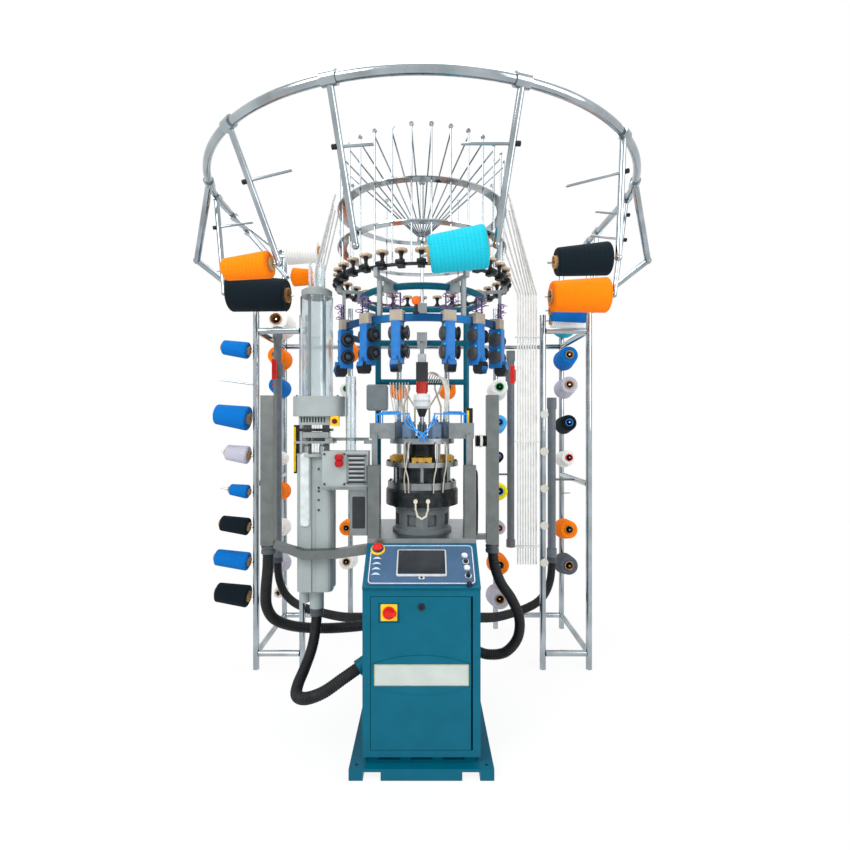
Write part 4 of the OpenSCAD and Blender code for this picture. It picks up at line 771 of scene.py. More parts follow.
class KNIT_OT_packages(bpy.types.Operator):
    """Set the wound packages on their pins: a cone with rolled shoulders turned about each pin, hollow for
    the paper core, one piece for each colour of yarn."""
    bl_idname = "knit.packages"
    bl_label = "Yarn packages"

    def execute(self, context):
        colours, sizes = context.scene.knitting_colours, context.scene.knitting_sizes
        placed_packages = []
        for post, height, turn, *package in POST_PACKAGES:
            tone = PRINTED_CORES.get((post, height), "tan")
            placed_packages.append((turned((*POSTS[post], height / 1000), turn, PIN_TILT), POST_START, tone,
                                    package))
        for hoop_turn, lean, turn, tilt, *package in ARM_PACKAGES:
            placed_packages.append((turned(on_arm(hoop_turn, lean), turn, tilt), ARM_START, "tan", package))
        for side, y, lean, drop, *package in SIDE_PACKAGES:
            end = (side * (HOOP_RADIUS - lean / 1000), y / 1000, HOOP_HEIGHT - drop / 1000)
            placed_packages.append((turned(end, 180 if side > 0 else 0), ARM_START, "tan", package))
        windings, cores = {}, {}
        for matrix, start, tone, (length, big, small, yarn) in placed_packages:
            length, big, small = length / 1000, big / 1000, small / 1000
            windings.setdefault(yarn, []).append(copies(self.winding(length, big, small, start), [matrix]))
            cores.setdefault(tone, []).append(copies(self.core(length, small, start, sizes.bore), [matrix]))
        for yarn, shapes in windings.items():
            finish = wound_yarn(f"{yarn} wound yarn", getattr(colours, yarn), sizes.thread)
            made = piece(f"packages_{yarn}", joined(shapes), finish, sharp=70)
            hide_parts("yarn_packages")
        for tone, shapes in cores.items():
            piece(f"cores_{tone}", joined(shapes), kraft_core(f"{tone} paper core", CORE_TONES[tone]))
        return {"FINISHED"}

    def winding(self, length, big, small, start):
        """Closed profile from the core out over the base shoulder, along the taper and back over the top one;
        each shoulder is a quarter ellipse, and the ends are dished a little towards the core."""
        roll, hole = 0.012, CORE_SHARE * small
        quarter = np.linspace(0, np.pi / 2, 7)
        base = np.column_stack([big - roll + roll * np.sin(quarter), roll - roll * np.cos(quarter)])
        top = np.column_stack([small - roll + roll * np.cos(quarter), length - roll + roll * np.sin(quarter)])
        ends = [(hole + 0.006, 0.004)], [(hole, length - 0.004)]
        profile = np.vstack([ends[0], base, top, ends[1]]) + (0, start)
        return revolve(profile, 40, True, (2 * math.pi * big, length + big))

    def core(self, length, small, start, bore):
        """Closed profile of the paper cone: out from the bore at its base, along the taper, over a rolled
        nose and back down the hollow inside to the bore."""
        low, high, nose = start - 0.008, start + length + 0.010, CORE_SHARE * small
        profile = [(bore, low), (nose + 0.005, low), (nose + 0.006, low + 0.002),
                   (nose - 0.0003, high - 0.008), (nose + 0.001, high - 0.003), (nose, high),
                   (nose - 0.0030, high - 0.001), (nose - 0.0042, high - 0.006),
                   (nose + 0.002, low + 0.020), (bore, low + 0.018)]
        return revolve(profile, 28, True)


class KNIT_OT_console_trim(bpy.types.Operator):
    """Trim the console: the dark screen with its tab, the collar under the emergency stop, the painted
    highlights on the keys, the printed outline, the black caps and the rings round the buttons."""
    bl_idname = "knit.console_trim"
    bl_label = "Console trim"

    def execute(self, context):
        colours = context.scene.knitting_colours
        glass = copies(slab(0.194, 0.122, 0.004, 0.0014, 0.0004), [on_console(0, SCREEN_UP, SCREEN_OUT)])
        piece("screen_glass", glass, screen_glass("touch screen glass"), sharp=25)
        collar = revolve([(0.0245, 0.0112), (0.031, 0.0052), (0.031, 0.0062), (0.0262, 0.0122),
                          (0.0245, 0.0122)], 48, True)
        piece("stop_collar", copies(collar, [on_console(*STOP_PLACE)]),
              moulding("yellow collar moulding", colours.signal_yellow, 0.34))
        self.key_highlights_and_print()
        self.caps()
        bezel = revolve([(0.0104, 0.0), (0.0140, 0.0), (0.0140, 0.0012), (0.0130, 0.0022),
                         (0.0104, 0.0022)], 40, True)
        piece("button_bezels", copies(bezel, [on_console(*place, PANEL_THICK) for place in BUTTON_PLACES]),
              brushed_metal("bright button bezel", "#c3c8cb", 0.3))
        return {"FINISHED"}

    def key_highlights_and_print(self):
        """Crescents of painted highlight on the domed keys, just proud of the membrane, and the thin line
        printed round the foil.
        """
        # The pale crescents are painted highlights where light falls on the keys' domes.
        keys = copies(self.crescent(), [on_console(*place, PANEL_THICK + 0.001) for place in KEY_PLACES])
        piece("key_painted_highlights", keys, moulding("painted key highlight", "#b9cbdd", 0.4),
              sharp=25)
        outline = copies(frame_line(0.430, 0.196, 0.016, 0.0026, 0.0004),
                         [on_console(0, CONSOLE_LENGTH / 2, PANEL_THICK)])
        piece("foil_outline", outline, moulding("white foil print", "#e9edee", 0.4),
              sharp=25)

    def caps(self):
        """Silver tab under the screen with its black dot, and the black cap at the console's lower right."""
        tab = copies(slab(0.026, 0.014, 0.006, 0.002, 0.0008), [on_console(0, TAB_UP, PANEL_THICK)])
        piece("screen_tab", tab, moulding("silver tab moulding", "#b4babe", 0.36),
              sharp=25)
        dot = revolve([(0.0050, 0.0), (0.0050, 0.0016), (0.0040, 0.0024), (0.0010, 0.0026)], 24)
        cap = revolve([(0.0100, -0.004), (0.0100, 0.009), (0.0088, 0.0112), (0.0030, 0.0120)], 32)
        caps = [copies(dot, [on_console(0, TAB_UP, PANEL_THICK + 0.002)]),
                copies(cap, [on_console(*CAP_PLACE, PANEL_THICK)])]
        piece("console_caps", joined(caps), moulding("black console cap", "#1a1c1f", 0.34))

    def crescent(self):
        """Crescent of painted highlight on a domed key: its upper edge is a parabola over the width and its
        lower edge a flatter one that meets it at both ends, raised by half a millimetre."""
        t = np.linspace(-1, 1, 13)
        upper = np.column_stack([0.019 * t, 0.0080 - 0.0125 * t ** 2])[::-1]
        lower = np.column_stack([0.019 * t, -0.0012 - 0.0033 * t ** 2])[1:-1]
        outline = np.vstack([upper, lower])
        return skin(np.stack([level(outline, z) for z in (0.0, 0.0006)]))


class KNIT_OT_door_trim(bpy.types.Operator):
    """Fit the door: the blank name plate in its border on the door's lens, and the yellow plate behind the
    main switch."""
    bl_idname = "knit.door_trim"
    bl_label = "Door trim"

    def execute(self, context):
        colours, sizes = context.scene.knitting_colours, context.scene.knitting_sizes
        plate = copies(slab(sizes.plate_width, sizes.plate_height, 0.004, 0.0016, 0.0004),
                       [on_front(0, PLATE_HEIGHT, PLATE_FACE)])
        border = copies(frame_line(sizes.plate_width - 0.001, sizes.plate_height - 0.001,
                                   0.004, 0.003, 0.0006),
                        [on_front(0, PLATE_HEIGHT, PLATE_FACE - 0.0015)])
        piece("plate_border", border, moulding("olive plate border", "#9ea27c", 0.4),
              body="cabinet_door_body", sharp=25)
        piece("name_plate", plate, powder_coat("pale name plate", "#b4bbb5", 0.36),
              body="cabinet_door_body", sharp=25)
        square = copies(slab(0.066, 0.066, 0.004, 0.0016, 0.0004), [on_front(*SWITCH_PLACE)])
        piece("switch_plate", square, moulding("yellow switch plate", colours.signal_yellow, 0.36),
              body="cabinet_door_body", sharp=25)
        return {"FINISHED"}


class KNIT_OT_feeder_trim(bpy.types.Operator):
    """Dress the yarn feeders: domed covers with their lamps, clamp blocks on the bar, sensors, inlet posts
    with pigtail guides, and the bright hubs of the wheels."""
    bl_idname = "knit.feeder_trim"
    bl_label = "Feeder trim"

    def execute(self, context):
        feeders = [ringed(turn, *FEEDER_SEAT) for turn in FEEDER_TURNS]
        self.covers(feeders)
        block = slab(0.053, 0.047, 0.004, 0.0445, 0.003)
        piece("feeder_blocks", copies(block, [ringed(turn, *BLOCK_SEAT) for turn in FEEDER_TURNS]),
              painted_casting("sand-coloured clamp casting", "#9a8f80", 0.42), sharp=25)
        piece("feeder_sensors", copies(self.sensor(), feeders),
              moulding("black sensor moulding", "#202225", 0.36), sharp=25)
        self.inlets()
        self.hubs(feeders)
        return {"FINISHED"}

    def covers(self, feeders):
        """A domed cover behind each wheel, and the lamp on its upper rim: both are turned about the wheel's
        axis."""
        backs = [feeder @ placed((-0.0195, 0, height), (0, 0, 1), (0, 1, 0), (-1, 0, 0))
                 for feeder in feeders for height in WHEEL_HEIGHTS]
        dome = revolve([(0.0290, 0.0), (0.0290, 0.0082), (0.0275, 0.0112), (0.0215, 0.0148), (0.0120, 0.0164),
                        (0.0040, 0.0170)], 36)
        piece("feeder_covers", copies(dome, backs), moulding("graphite cover moulding", "#3a3d41", 0.4),
              sharp=50)
        lamp = revolve([(0.0052, -0.001), (0.0052, 0.002), (0.0044, 0.0038), (0.0020, 0.0048)], 20)
        piece("feeder_lamps", copies(lamp, [back @ at(0.0275, -0.016, 0.0) for back in backs]),
              extruded_tube("cyan lamp lens", "#25c3dc", 0.2))

    def inlets(self):
        """Two inlet posts on each feeder, each with three pigtail guides that point different ways."""
        posts = [ringed(turn, *INLET_SEAT) @ at(x, 0, 0) for turn in FEEDER_TURNS for x in (-0.016, 0.016)]
        rod = revolve([(0.0031, 0.0), (0.0031, 0.064), (0.0022, 0.066)], 14)
        piece("inlet_posts", copies(rod, posts), black_oxide("blackened inlet post"))
        pigtails = [post @ turned((0, 0, height), turn) for post in posts
                    for height, turn in ((0.012, 200), (0.036, 330), (0.058, 250))]
        piece("pigtail_guides", copies(self.pigtail(), pigtails),
              extruded_tube("violet coated wire", "#6b3f86", 0.3))

    def hubs(self, feeders):
        """The bright hub and rim on each wheel's face, on the wheel's own body."""
        hub = revolve([(0.0046, 0.0), (0.0110, 0.0), (0.0110, 0.0014), (0.0095, 0.0024), (0.0046, 0.0024)],
                      28, True)
        rim = revolve([(0.0222, 0.0), (0.0262, 0.0), (0.0262, 0.0010), (0.0242, 0.0016), (0.0222, 0.0010)],
                      36, True)
        bright = brushed_metal("turned wheel hub", "#5d6368", 0.34)
        wheels = [(feeder, height) for feeder in feeders for height in WHEEL_HEIGHTS]
        for number, (feeder, height) in enumerate(wheels, 1):
            face = feeder @ placed((0.043, 0, height), (0, 0, -1), (0, 1, 0), (1, 0, 0))
            piece(f"wheel_hub_{number}", copies(joined([hub, rim]), [face]), bright,
                  body=f"feeder_wheel_{number}_body")

    def sensor(self):
        """Sensor under a feeder: its side outline at the two ends of its width, closed by flat caps."""
        outline = np.array([(-0.045, 0.012), (-0.051, -0.008), (-0.039, -0.036), (-0.006, -0.036),
                            (0.004, -0.020), (0.004, 0.012)])
        ends = [np.column_stack([np.full(len(outline), x), outline]) for x in (-0.0178, 0.0178)]
        return skin(np.stack(ends)[:, ::-1])

    def pigtail(self):
        """Pigtail guide: a wire along a helix that starts on its post and widens to a loop."""
        t = np.linspace(0, 1, 34)
        a = 2 * np.pi * 1.6 * t
        radius = 0.0135 * np.sin(np.pi * (0.12 + 0.5 * t))
        line = np.column_stack([0.006 * np.sin(a * 0.5), radius * np.sin(a),
                                0.006 + 0.016 * t + radius * np.cos(a)])
        return sweep(line, 0.0016, 7)


class KNIT_OT_creel_trim(bpy.types.Operator):
    """Trim the overhead creel: bare pins with their collars on the hoop's arms, and the bars that run
    straight from the head of each front guide rod to a hub on the mast."""
    bl_idname = "knit.creel_trim"
    bl_label = "Creel trim"

    def execute(self, context):
        pins, collars = [], []
        for hoop_turn, lean, share, turn, tilt, length in SPARE_PINS:
            seat = [turned(on_arm(hoop_turn, lean, share), turn, tilt)]
            pin = revolve([(0.0040, -0.022), (0.0060, -0.020), (0.0060, length - 0.003), (0.0040, length)],
                          16)
            collar = revolve([(0.0060, -0.030), (0.0095, -0.028), (0.0095, -0.014), (0.0080, -0.012)], 18)
            pins.append(copies(pin, seat))
            collars.append(copies(collar, seat))
        piece("spare_pins", joined(pins), chrome_plate("chromed pin"))
        piece("pin_collars", joined(collars), moulding("black pin collar", "#1d1f22", 0.36))
        piece("guide_bars", self.guide_bars(), chrome_plate("chromed guide bar"))
        return {"FINISHED"}

    def guide_bars(self):
        """The hub on the mast, turned about Z, and a straight tube from its wall to the head of each front
        rod."""
        hub = revolve([(0.0082, 0.0), (0.0240, 0.0), (0.0255, 0.003), (0.0255, 0.025), (0.0240, 0.028),
                       (0.0082, 0.028)], 32, True)
        bars = [copies(hub, [at(0.0, MAST_DEPTH, HUB_MIDDLE - 0.014)])]
        inner = np.array((0.0, MAST_DEPTH, HUB_MIDDLE))
        steps = np.linspace(0, 1, 5)[:, None]
        for turn in range(-78, 79, 12):
            reach = ringed(turn, *GUIDE_HEAD)[:3, 3] - inner
            start = 0.024 * (reach / np.linalg.norm(reach[:2]))
            bars.append(sweep(inner + start + steps * (reach - start), 0.0034, 8))
        return joined(bars)


class KNIT_OT_brake_trim(bpy.types.Operator):
    """Dress the yarn brakes on their ring: a waisted stem, a clip on the ring and a broad disc for each."""
    bl_idname = "knit.brake_trim"
    bl_label = "Yarn brake trim"

    def execute(self, context):
        seats = [ringed(turn, *BRAKE_SEAT) for turn in range(0, 360, 12)]
        stem = revolve([(0.0130, 0.0), (0.0130, 0.010), (0.0085, 0.016), (0.0070, 0.026), (0.0100, 0.038),
                        (0.0120, 0.046)], 18)
        clip = copies(slab(0.030, 0.034, 0.004, 0.022, 0.003), [at(0.0, 0.0, -0.016)])
        barrel = copies(revolve([(0.0070, -0.019), (0.0095, -0.015), (0.0095, 0.015), (0.0070, 0.019)], 16),
                        [placed((0.0, -0.018, 0.002), (0, 0, -1), (0, 1, 0), (1, 0, 0))])
        piece("brake_stems", copies(joined([stem, clip, barrel]), seats),
              moulding("black brake moulding", "#191b1e", 0.34), sharp=35)
        disc = revolve([(0.0100, 0.0), (0.0256, 0.0), (0.0260, 0.0025), (0.0260, 0.0075), (0.0245, 0.0098),
                        (0.0080, 0.0105)], 28)
        piece("brake_discs", copies(disc, [seat @ at(0, 0, 0.0455) for seat in seats]),
              glazed_ceramic("tan disc ceramic", "#b59c7e"), sharp=50)
        return {"FINISHED"}


class KNIT_OT_head_trim(bpy.types.Operator):
    """Dress the knitting head: cap screws on its plates, thread tubes, air tubes and oil pipes swept along
    smooth lines, the drive's cover, the knob on the bar, the light curtains, the sensor barrel and the
    conduit."""
    bl_idname = "knit.head_trim"
    bl_label = "Knitting head trim"

    def execute(self, context):
        colours = context.scene.knitting_colours
        seats = [ringed(first + 360 / count * k, radius, height)
                 for count, first, radius, height in SCREW_RINGS for k in range(count)]
        piece("cap_screws", copies(cap_screw(), seats), black_oxide("blackened cap screw", "#303336"))
        piece("thread_tubes", self.thread_tubes(), extruded_tube("milky thread tube", "#d8d6cb", 0.36))
        piece("front_air_tubes", self.air_tubes(), extruded_tube("bright air tube", colours.air, 0.3))
        piece("oil_pipes", self.oil_pipes(), extruded_tube("ivory oil pipe", "#a8a496", 0.42))
        cover = copies(slab(0.104, 0.128, 0.012, 0.055, 0.006), [on_front(*DRIVE_PLACE)])
        piece("drive_cover", cover, painted_casting("grey drive cover", "#868f91"),
              sharp=30)
        self.knob()
        self.curtains(colours)
        self.barrel()
        line = smooth_line([(0.226, -0.160, 1.205), (0.240, -0.160, 1.192), (0.2415, -0.163, 1.130),
                            (0.2430, -0.158, 1.050), (0.2415, -0.165, 0.980), (0.2400, -0.162, 0.925),
                            (0.226, -0.162, 0.915)])
        piece("column_conduit", sweep(line, 0.0056, 10), ribbed_rubber("black conduit"))
        return {"FINISHED"}

    def thread_tubes(self):
        """Thread tubes: each runs on a smooth line from the lower cross tube, in a bow round the dial head,
        to the top of an actuator. Neighbours start, bow and end a little further along."""
        tubes = []
        for k in range(9):
            u = k / 8
            unit = about_axis([(100 if k % 2 else 62, *ACTUATOR_TOP)])[0]
            tubes.append([(0.020 + 0.09 * u, *CROSS_TUBE), (0.034 + 0.09 * u, 0.105, 1.655 - 0.03 * u),
                          (0.078 + 0.05 * u, 0.050, 1.640 - 0.05 * u),
                          (0.108 + 0.02 * u, 0.010, 1.570 - 0.04 * u),
                          (0.106 + 0.01 * u, -0.01, 1.480 - 0.02 * u),
                          unit + (0.012 * u - 0.006, 0.010 * u - 0.005, 0)])
        for k in range(7):
            u = k / 6
            unit = about_axis([(-100 if k < 4 else -140, *ACTUATOR_TOP)])[0]
            tubes.append([(-0.160 + 0.09 * u, *CROSS_TUBE), (-0.156 + 0.085 * u, 0.140, 1.560),
                          (-0.138 + 0.065 * u, 0.080, 1.470),
                          unit + (0.014 * u - 0.007, 0.006 * u - 0.003, 0)])
        return joined([sweep(smooth_line(tube), THREAD_TUBE, 8) for tube in tubes])

    def air_tubes(self):
        """Air tubes: each leaves an actuator's top, bows out over the front of the head plate and ends in its
        edge."""
        tubes = []
        for side, k in ((-1, 0), (-1, 1), (1, 0), (1, 1), (-1, 2)):
            path = [(25 + 5 * k, *ACTUATOR_TOP), (26 + 5 * k, 0.136, 1.452 - 0.012 * k),
                    (17 + 2 * k, 0.164, 1.424 - 0.016 * k), (9 - 5 * k, 0.172, 1.372 - 0.004 * k),
                    (4 - 6 * k, 0.166, 1.342), (2 - 6 * k, 0.149, 1.327)]
            tubes.append(about_axis(path) * (side, 1, 1))
        return joined([sweep(smooth_line(tube), AIR_TUBE, 8) for tube in tubes])

    def oil_pipes(self):
        """Oil pipes, bent to shape, from the head plate's edge over the ring below it to the cam housing."""
        pipes = []
        for first, last in ((-28, -20), (-20, -26), (24, 18), (40, 34)):
            path = [(first, 0.148, 1.326), (first, 0.168, 1.306), (first * 0.6 + last * 0.4, 0.178, 1.225),
                    (last, 0.176, 1.165), (last, 0.166, 1.100)]
            pipes.append(about_axis(path))
        return joined([sweep(smooth_line(pipe), OIL_PIPE, 10) for pipe in pipes])

    def knob(self):
        """Orange ball on a black stem, both turned about Z; the ball's profile is an arc of a circle."""
        stem = revolve([(0.0130, 0.0), (0.0130, 0.006), (0.0080, 0.010), (0.0070, 0.036)], 20)
        piece("knob_stem", copies(stem, [at(*KNOB_FOOT)]), moulding("black knob stem", "#1c1e20", 0.36))
        a = np.linspace(-1.2, math.pi / 2, 14)
        ball = revolve(np.column_stack([0.0185 * np.cos(a), 0.052 + 0.0185 * np.sin(a)]), 28)
        piece("bar_knob", copies(ball, [at(*KNOB_FOOT)]), moulding("orange knob", "#f0671c", 0.3))

    def curtains(self, colours):
        """Light curtains on the bed and on the turner's column: a black bar with a yellow strip on its
        front."""
        bars = [copies(slab(0.030, 0.024, 0.003, 0.569, 0.001), [at(0.2195, -0.040, BED_TOP)]),
                copies(slab(0.024, 0.026, 0.003, 0.222, 0.001), [at(-0.5772, -0.045, 1.178)])]
        piece("light_curtains", joined(bars), moulding("black curtain housing", "#1b1d1f", 0.36),
              sharp=30)
        strips = [copies(slab(0.011, 0.004, 0.001, 0.545, 0.0005), [at(0.2115, -0.0535, BED_TOP + 0.012)]),
                  copies(slab(0.010, 0.004, 0.001, 0.206, 0.0005), [at(-0.5835, -0.0595, 1.186)])]
        piece("curtain_strips", joined(strips), moulding("yellow curtain strip", colours.signal_yellow, 0.36),
              sharp=30)

    def barrel(self):
        """Corrugated sensor barrel on the right duct, whose radius follows a cosine, and its white band."""
        along = np.linspace(0.0, 0.050, 41)
        ribs = np.column_stack([0.0262 + 0.0022 * np.cos(2 * np.pi * along / 0.010), along])
        barrel = revolve(np.vstack([[(0.012, 0.0)], ribs]), 32)
        seat = [placed(BARREL_PLACE, (0, 1, 0), (0, 0, -1), (-1, 0, 0))]
        piece("sensor_barrel", copies(barrel, seat), ribbed_rubber("black bellows"),
              sharp=60)
        band = revolve([(0.0262, 0.019), (0.0296, 0.019), (0.0296, 0.031), (0.0262, 0.031)], 32, True)
        piece("barrel_band", copies(band, seat), moulding("white barrel band", "#e6e6e2", 0.36))


class KNIT_OT_turner_trim(bpy.types.Operator):
    """Dress the sock turner and the air pipes: the carrier box with its louvres and plug, the shelf and
    bracket below it, the column's strip, the plates of the mechanism, the screws, and red grips on the
    valves. Most are rounded slabs."""
    bl_idname = "knit.turner_trim"
    bl_label = "Sock turner trim"

    def execute(self, context):
        colours = context.scene.knitting_colours
        self.carrier_box()
        strip = copies(slab(0.042, 0.330, 0.016, 0.010, 0.004), [on_front(-0.523, 1.110, COLUMN_FACE)])
        piece("column_strip", strip, moulding("white column strip", "#c3cac9", 0.34),
              sharp=30)
        lobes = copies(slab(0.036, 0.028, 0.011, 0.022, 0.005),
                       [on_front(-0.360, z, BOX_FACE) for z in (1.232, 1.259)])
        piece("carrier_plug", lobes, moulding("dark red plug moulding", "#a3161c", 0.3),
              sharp=30)
        self.valves(colours)
        self.mechanism(colours)
        piece("turner_screws", copies(cap_screw(), self.screw_seats()),
              black_oxide("turner cap screw", "#33363a"))
        return {"FINISHED"}

    def carrier_box(self):
        """Louvred panel on the box's front, with the shelf and bracket below it, and dark sheets as painted
        shade in the gaps between the slats and on the bracket's front."""
        panels = [copies(slab(0.088, 0.132, 0.004, 0.004, 0.001),
                         [on_front(LOUVRE_MIDDLE, 1.2075, BOX_FACE)]),
                  copies(slab(0.1985, 0.110, 0.004, 0.012, 0.002), [at(-0.336, -0.130, 1.118)]),
                  copies(slab(0.080, 0.070, 0.004, 0.203, 0.002), [at(BRACKET_MIDDLE, -0.130, 0.915)])]
        piece("turner_panels", joined(panels), brushed_metal("brushed turner panel", "#8b9293", 0.42),
              sharp=30)
        slats = copies(slab(0.070, 0.008, 0.003, 0.005, 0.002),
                       [on_front(LOUVRE_MIDDLE, 1.160 + LOUVRE_PITCH * k, PANEL_FACE) for k in range(6)])
        piece("turner_louvres", slats, brushed_metal("pressed louvre", "#b9bfc0", 0.36),
              sharp=30)
        # Thin dark sheets between the slats and on the bracket's front: painted shade in the gaps and the
        # recess.
        gaps = [copies(slab(0.070, 0.008, 0.001, 0.0012, 0.0004),
                       [on_front(LOUVRE_MIDDLE, 1.1505 + LOUVRE_PITCH * k, PANEL_FACE + 0.0005)
                        for k in range(7)]),
                copies(slab(0.056, 0.140, 0.006, 0.0015, 0.0005), [on_front(BRACKET_MIDDLE, 1.016, -0.1645)])]
        piece("turner_painted_shade", joined(gaps), moulding("painted louvre shade", "#2c3032", 0.5))

    def valves(self, colours):
        """Red grips over the valves' handles on the plastic pipes, and the blue clips behind the post's
        discs."""
        stubs = copies(slab(0.0216, 0.0716, 0.006, 0.0256, 0.003),
                       [at(x, y - 0.0355, 1.7272) for x, y in VALVES])
        levers = copies(slab(0.030, 0.016, 0.005, 0.124, 0.003), [at(x, y - 0.074, 1.678) for x, y in VALVES])
        piece("red_grips", joined([stubs, levers]), moulding("red grip moulding", colours.signal_red, 0.3),
              sharp=30)
        clips = copies(slab(0.014, 0.034, 0.002, 0.004, 0.001),
                       [on_front(0.7005, z, 0.525) for z in DISC_HEIGHTS])
        piece("post_clips", clips, moulding("blue post clip", "#1d4fb0", 0.36), sharp=30)

    def mechanism(self, colours):
        """Plates and pins between the turner's column and its cap, thin dark sheets as painted shade in the
        slots of the lower block, a blackened plate, and the yellow tab with its button."""
        tab = copies(slab(0.038, 0.030, 0.004, 0.046, 0.003), [at(TAB_ACROSS, -0.100, 1.394)])
        piece("turner_tab", tab, powder_coat("yellow tab paint", colours.signal_yellow),
              sharp=30)
        steel = [copies(slab(0.178, 0.104, 0.010, 0.010, 0.002), [at(TURNER_ACROSS, -0.068, 1.317)]),
                 copies(slab(0.120, 0.060, 0.006, 0.026, 0.003), [at(-0.478, -0.085, 1.343)]),
                 copies(slab(0.034, 0.030, 0.003, 0.018, 0.002), [at(-0.420, -0.092, 1.327)]),
                 copies(revolve([(0.013, 0.0), (0.013, 0.034), (0.009, 0.040), (0.009, 0.050)], 24),
                        [at(x, -0.098, 1.270) for x in (-0.520, -0.450)])]
        piece("turner_plates", joined(steel), brushed_metal("ground turner plate", "#9aa1a3", 0.34),
              sharp=30)
        # The nine thin dark sheets stand for the slots as painted shade; the larger plate is blackened steel.
        dark = [copies(slab(0.0065, 0.024, 0.001, 0.0012, 0.0004),
                       [on_front(-0.545 + 0.013 * k, 1.424, -0.095) for k in range(9)]),
                copies(slab(0.150, 0.086, 0.006, 0.012, 0.002), [at(TURNER_ACROSS, -0.070, 1.372)])]
        piece("turner_slot_shade_and_plate", joined(dark), black_oxide("blackened plate and painted slot shade", "#2a2d30"),
              sharp=30)
        button = revolve([(0.0120, 0.0), (0.0120, 0.006), (0.0100, 0.009), (0.0040, 0.010)], 28)
        piece("tab_button", copies(button, [on_front(TAB_ACROSS, 1.417, COLUMN_FACE)]),
              moulding("dark red button", "#6d1511", 0.3))

    def screw_seats(self):
        """Places of the screws: the corners of the box and of its panel, the lower plate, the column's front
        and the cap's top."""
        seats = [on_front(x, z, BOX_FACE) for x in (-0.425, -0.338) for z in (1.142, 1.273)]
        seats += [on_front(x, z, PANEL_FACE) for x in (-0.321, -0.247) for z in (1.149, 1.266)]
        seats += [at(x, -0.105, 1.327) for x in (-0.560, -0.510)]
        seats += [on_front(-0.462, z, COLUMN_FACE) for z in (1.203, 1.119, 1.104, 1.064, 1.019)]
        return seats + [at(-0.473 + x, -0.045 + y, 1.530) for x in (-0.092, 0.092) for y in (-0.050, 0.050)]


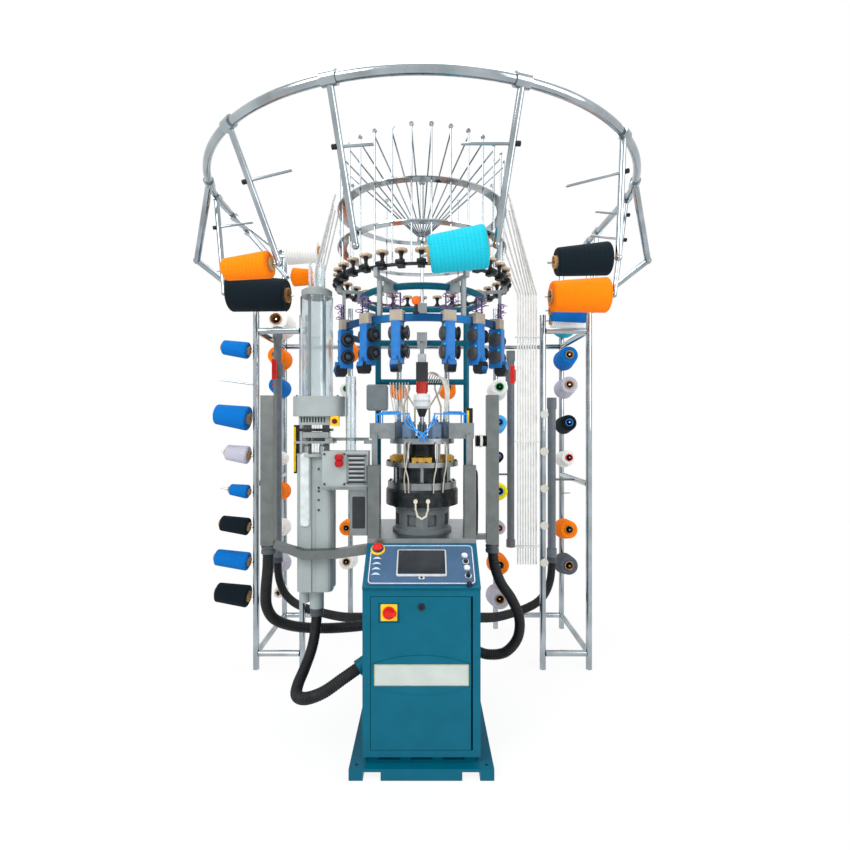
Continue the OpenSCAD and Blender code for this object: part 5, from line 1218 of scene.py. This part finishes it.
class KNIT_OT_stage(bpy.types.Operator):
    """Set up the photograph's view: a pale floor, a white surround, three soft lamps and the camera."""
    bl_idname = "knit.stage"
    bl_label = "Stage and camera"

    def execute(self, context):
        view, scene = context.scene.knitting_view, context.scene
        scene.view_settings.view_transform = "Standard"
        self.surround(scene)
        self.floor()
        for name, place, size, power in LAMPS:
            lamp = bpy.data.lights.new(name, "AREA")
            lamp.size, lamp.energy = size, power
            holder = bpy.data.objects.new(name, lamp)
            scene.collection.objects.link(holder)
            holder.location = place
            aim = np.subtract(LAMP_TARGET, place)
            holder.rotation_euler = (math.atan2(np.hypot(aim[0], aim[1]), -aim[2]), 0,
                                     math.atan2(aim[1], aim[0]) - math.pi / 2)
        camera = bpy.data.objects.new("photograph camera", bpy.data.cameras.new("photograph camera"))
        camera.data.lens, camera.data.sensor_width = view.lens, 36.0
        camera.location = (view.side, -view.distance, view.height)
        camera.rotation_euler = (math.radians(90), 0, 0)
        scene.collection.objects.link(camera)
        scene.camera = camera
        return {"FINISHED"}

    def surround(self, scene):
        """World that lights the object softly, and shows plain white where the camera, glass or a mirror sees
        it."""
        world = bpy.data.worlds.new("white surround")
        scene.world = world
        world.use_nodes = True
        tree = world.node_tree
        tree.nodes.clear()
        seen = self.seen(tree)
        soft = add_node(tree, "ShaderNodeBackground", {"Color": (0.95, 0.97, 1.0, 1.0), "Strength": 0.8})
        white = add_node(tree, "ShaderNodeBackground", {"Color": (1.0, 1.0, 1.0, 1.0), "Strength": 1.0})
        mixed = add_node(tree, "ShaderNodeMixShader", links={0: seen, 1: soft.outputs[0],
                                                             2: white.outputs[0]})
        add_node(tree, "ShaderNodeOutputWorld", links={"Surface": mixed.outputs[0]})

    def seen(self, tree):
        """One where a ray comes from the camera, a mirror or glass, and zero where it lights a surface."""
        path = add_node(tree, "ShaderNodeLightPath")
        first = add_node(tree, "ShaderNodeMath", {"operation": "MAXIMUM"},
                         {0: path.outputs["Is Camera Ray"], 1: path.outputs["Is Glossy Ray"]})
        return add_node(tree, "ShaderNodeMath", {"operation": "MAXIMUM"},
                        {0: first.outputs[0], 1: path.outputs["Is Transmission Ray"]}).outputs[0]

    def floor(self):
        """Plain pale floor, 80 m square, so that its far edge is lost in the surround."""
        mesh = bpy.data.meshes.new("studio_floor")
        half = 40
        corners = [(-half, -half, 0), (half, -half, 0), (half, half, 0), (-half, half, 0)]
        mesh.from_pydata(corners, [], [(0, 1, 2, 3)])
        pale, tree, shader, place = new_finish("pale studio floor", "#f4f5f5", 0.0, 0.7)
        cloud(tree, place, 900, shader.inputs["Base Color"], linear("#f2f3f3"), linear("#f7f8f8"), 1.0)
        # Most of what the camera sees of it is the white of the surround, so that only the shadow shows
        white = add_node(tree, "ShaderNodeEmission", {"Color": (1.0, 1.0, 1.0, 1.0), "Strength": 1.0})
        reach = add_node(tree, "ShaderNodeVectorMath", {"operation": "LENGTH"}, {0: place})
        far = add_node(tree, "ShaderNodeMapRange", {"From Min": 0.9, "From Max": 3.0, "To Min": 0.9,
                                                    "To Max": 1.0},
                       {"Value": reach.outputs["Value"]})
        share = add_node(tree, "ShaderNodeMath", {"operation": "MULTIPLY"},
                         {0: self.seen(tree), 1: far.outputs[0]})
        mixed = add_node(tree, "ShaderNodeMixShader", links={0: share.outputs[0], 1: shader.outputs["BSDF"],
                                                             2: white.outputs[0]})
        tree.links.new(mixed.outputs[0], tree.get_output_node("ALL").inputs["Surface"])
        mesh.materials.append(pale)
        floor = bpy.data.objects.new("studio_floor", mesh)
        bpy.context.scene.collection.objects.link(floor)


class KNIT_PT_panel(bpy.types.Panel):
    """Sidebar panel with the settings and the operators in their order."""
    bl_idname = "KNIT_PT_panel"
    bl_label = "Sock knitting machine"
    bl_space_type = "VIEW_3D"
    bl_region_type = "UI"
    bl_category = "Knitting"

    def draw(self, context):
        for settings in SETTINGS:
            group = getattr(context.scene, settings)
            for prop in group.__annotations__:
                self.layout.prop(group, prop)
        for operator in OPERATORS:
            self.layout.operator(operator.bl_idname)


SETTINGS = {"knitting_colours": KnittingColours, "knitting_sizes": KnittingSizes,
            "knitting_view": KnittingView}
OPERATORS = (KNIT_OT_stage, KNIT_OT_finishes, KNIT_OT_hoses, KNIT_OT_packages, KNIT_OT_console_trim,
             KNIT_OT_door_trim,
             KNIT_OT_feeder_trim, KNIT_OT_creel_trim, KNIT_OT_brake_trim, KNIT_OT_head_trim,
             KNIT_OT_turner_trim)


def register():
    for cls in (*SETTINGS.values(), *OPERATORS, KNIT_PT_panel):
        bpy.utils.register_class(cls)
    for name, group in SETTINGS.items():
        setattr(bpy.types.Scene, name, bpy.props.PointerProperty(type=group))


def unregister():
    for name in SETTINGS:
        delattr(bpy.types.Scene, name)
    for cls in reversed((*SETTINGS.values(), *OPERATORS, KNIT_PT_panel)):
        bpy.utils.unregister_class(cls)


def main():
    register()
    for operator in OPERATORS:
        group, name = operator.bl_idname.split(".")
        getattr(getattr(bpy.ops, group), name)()


if __name__ == "__main__":
    main()
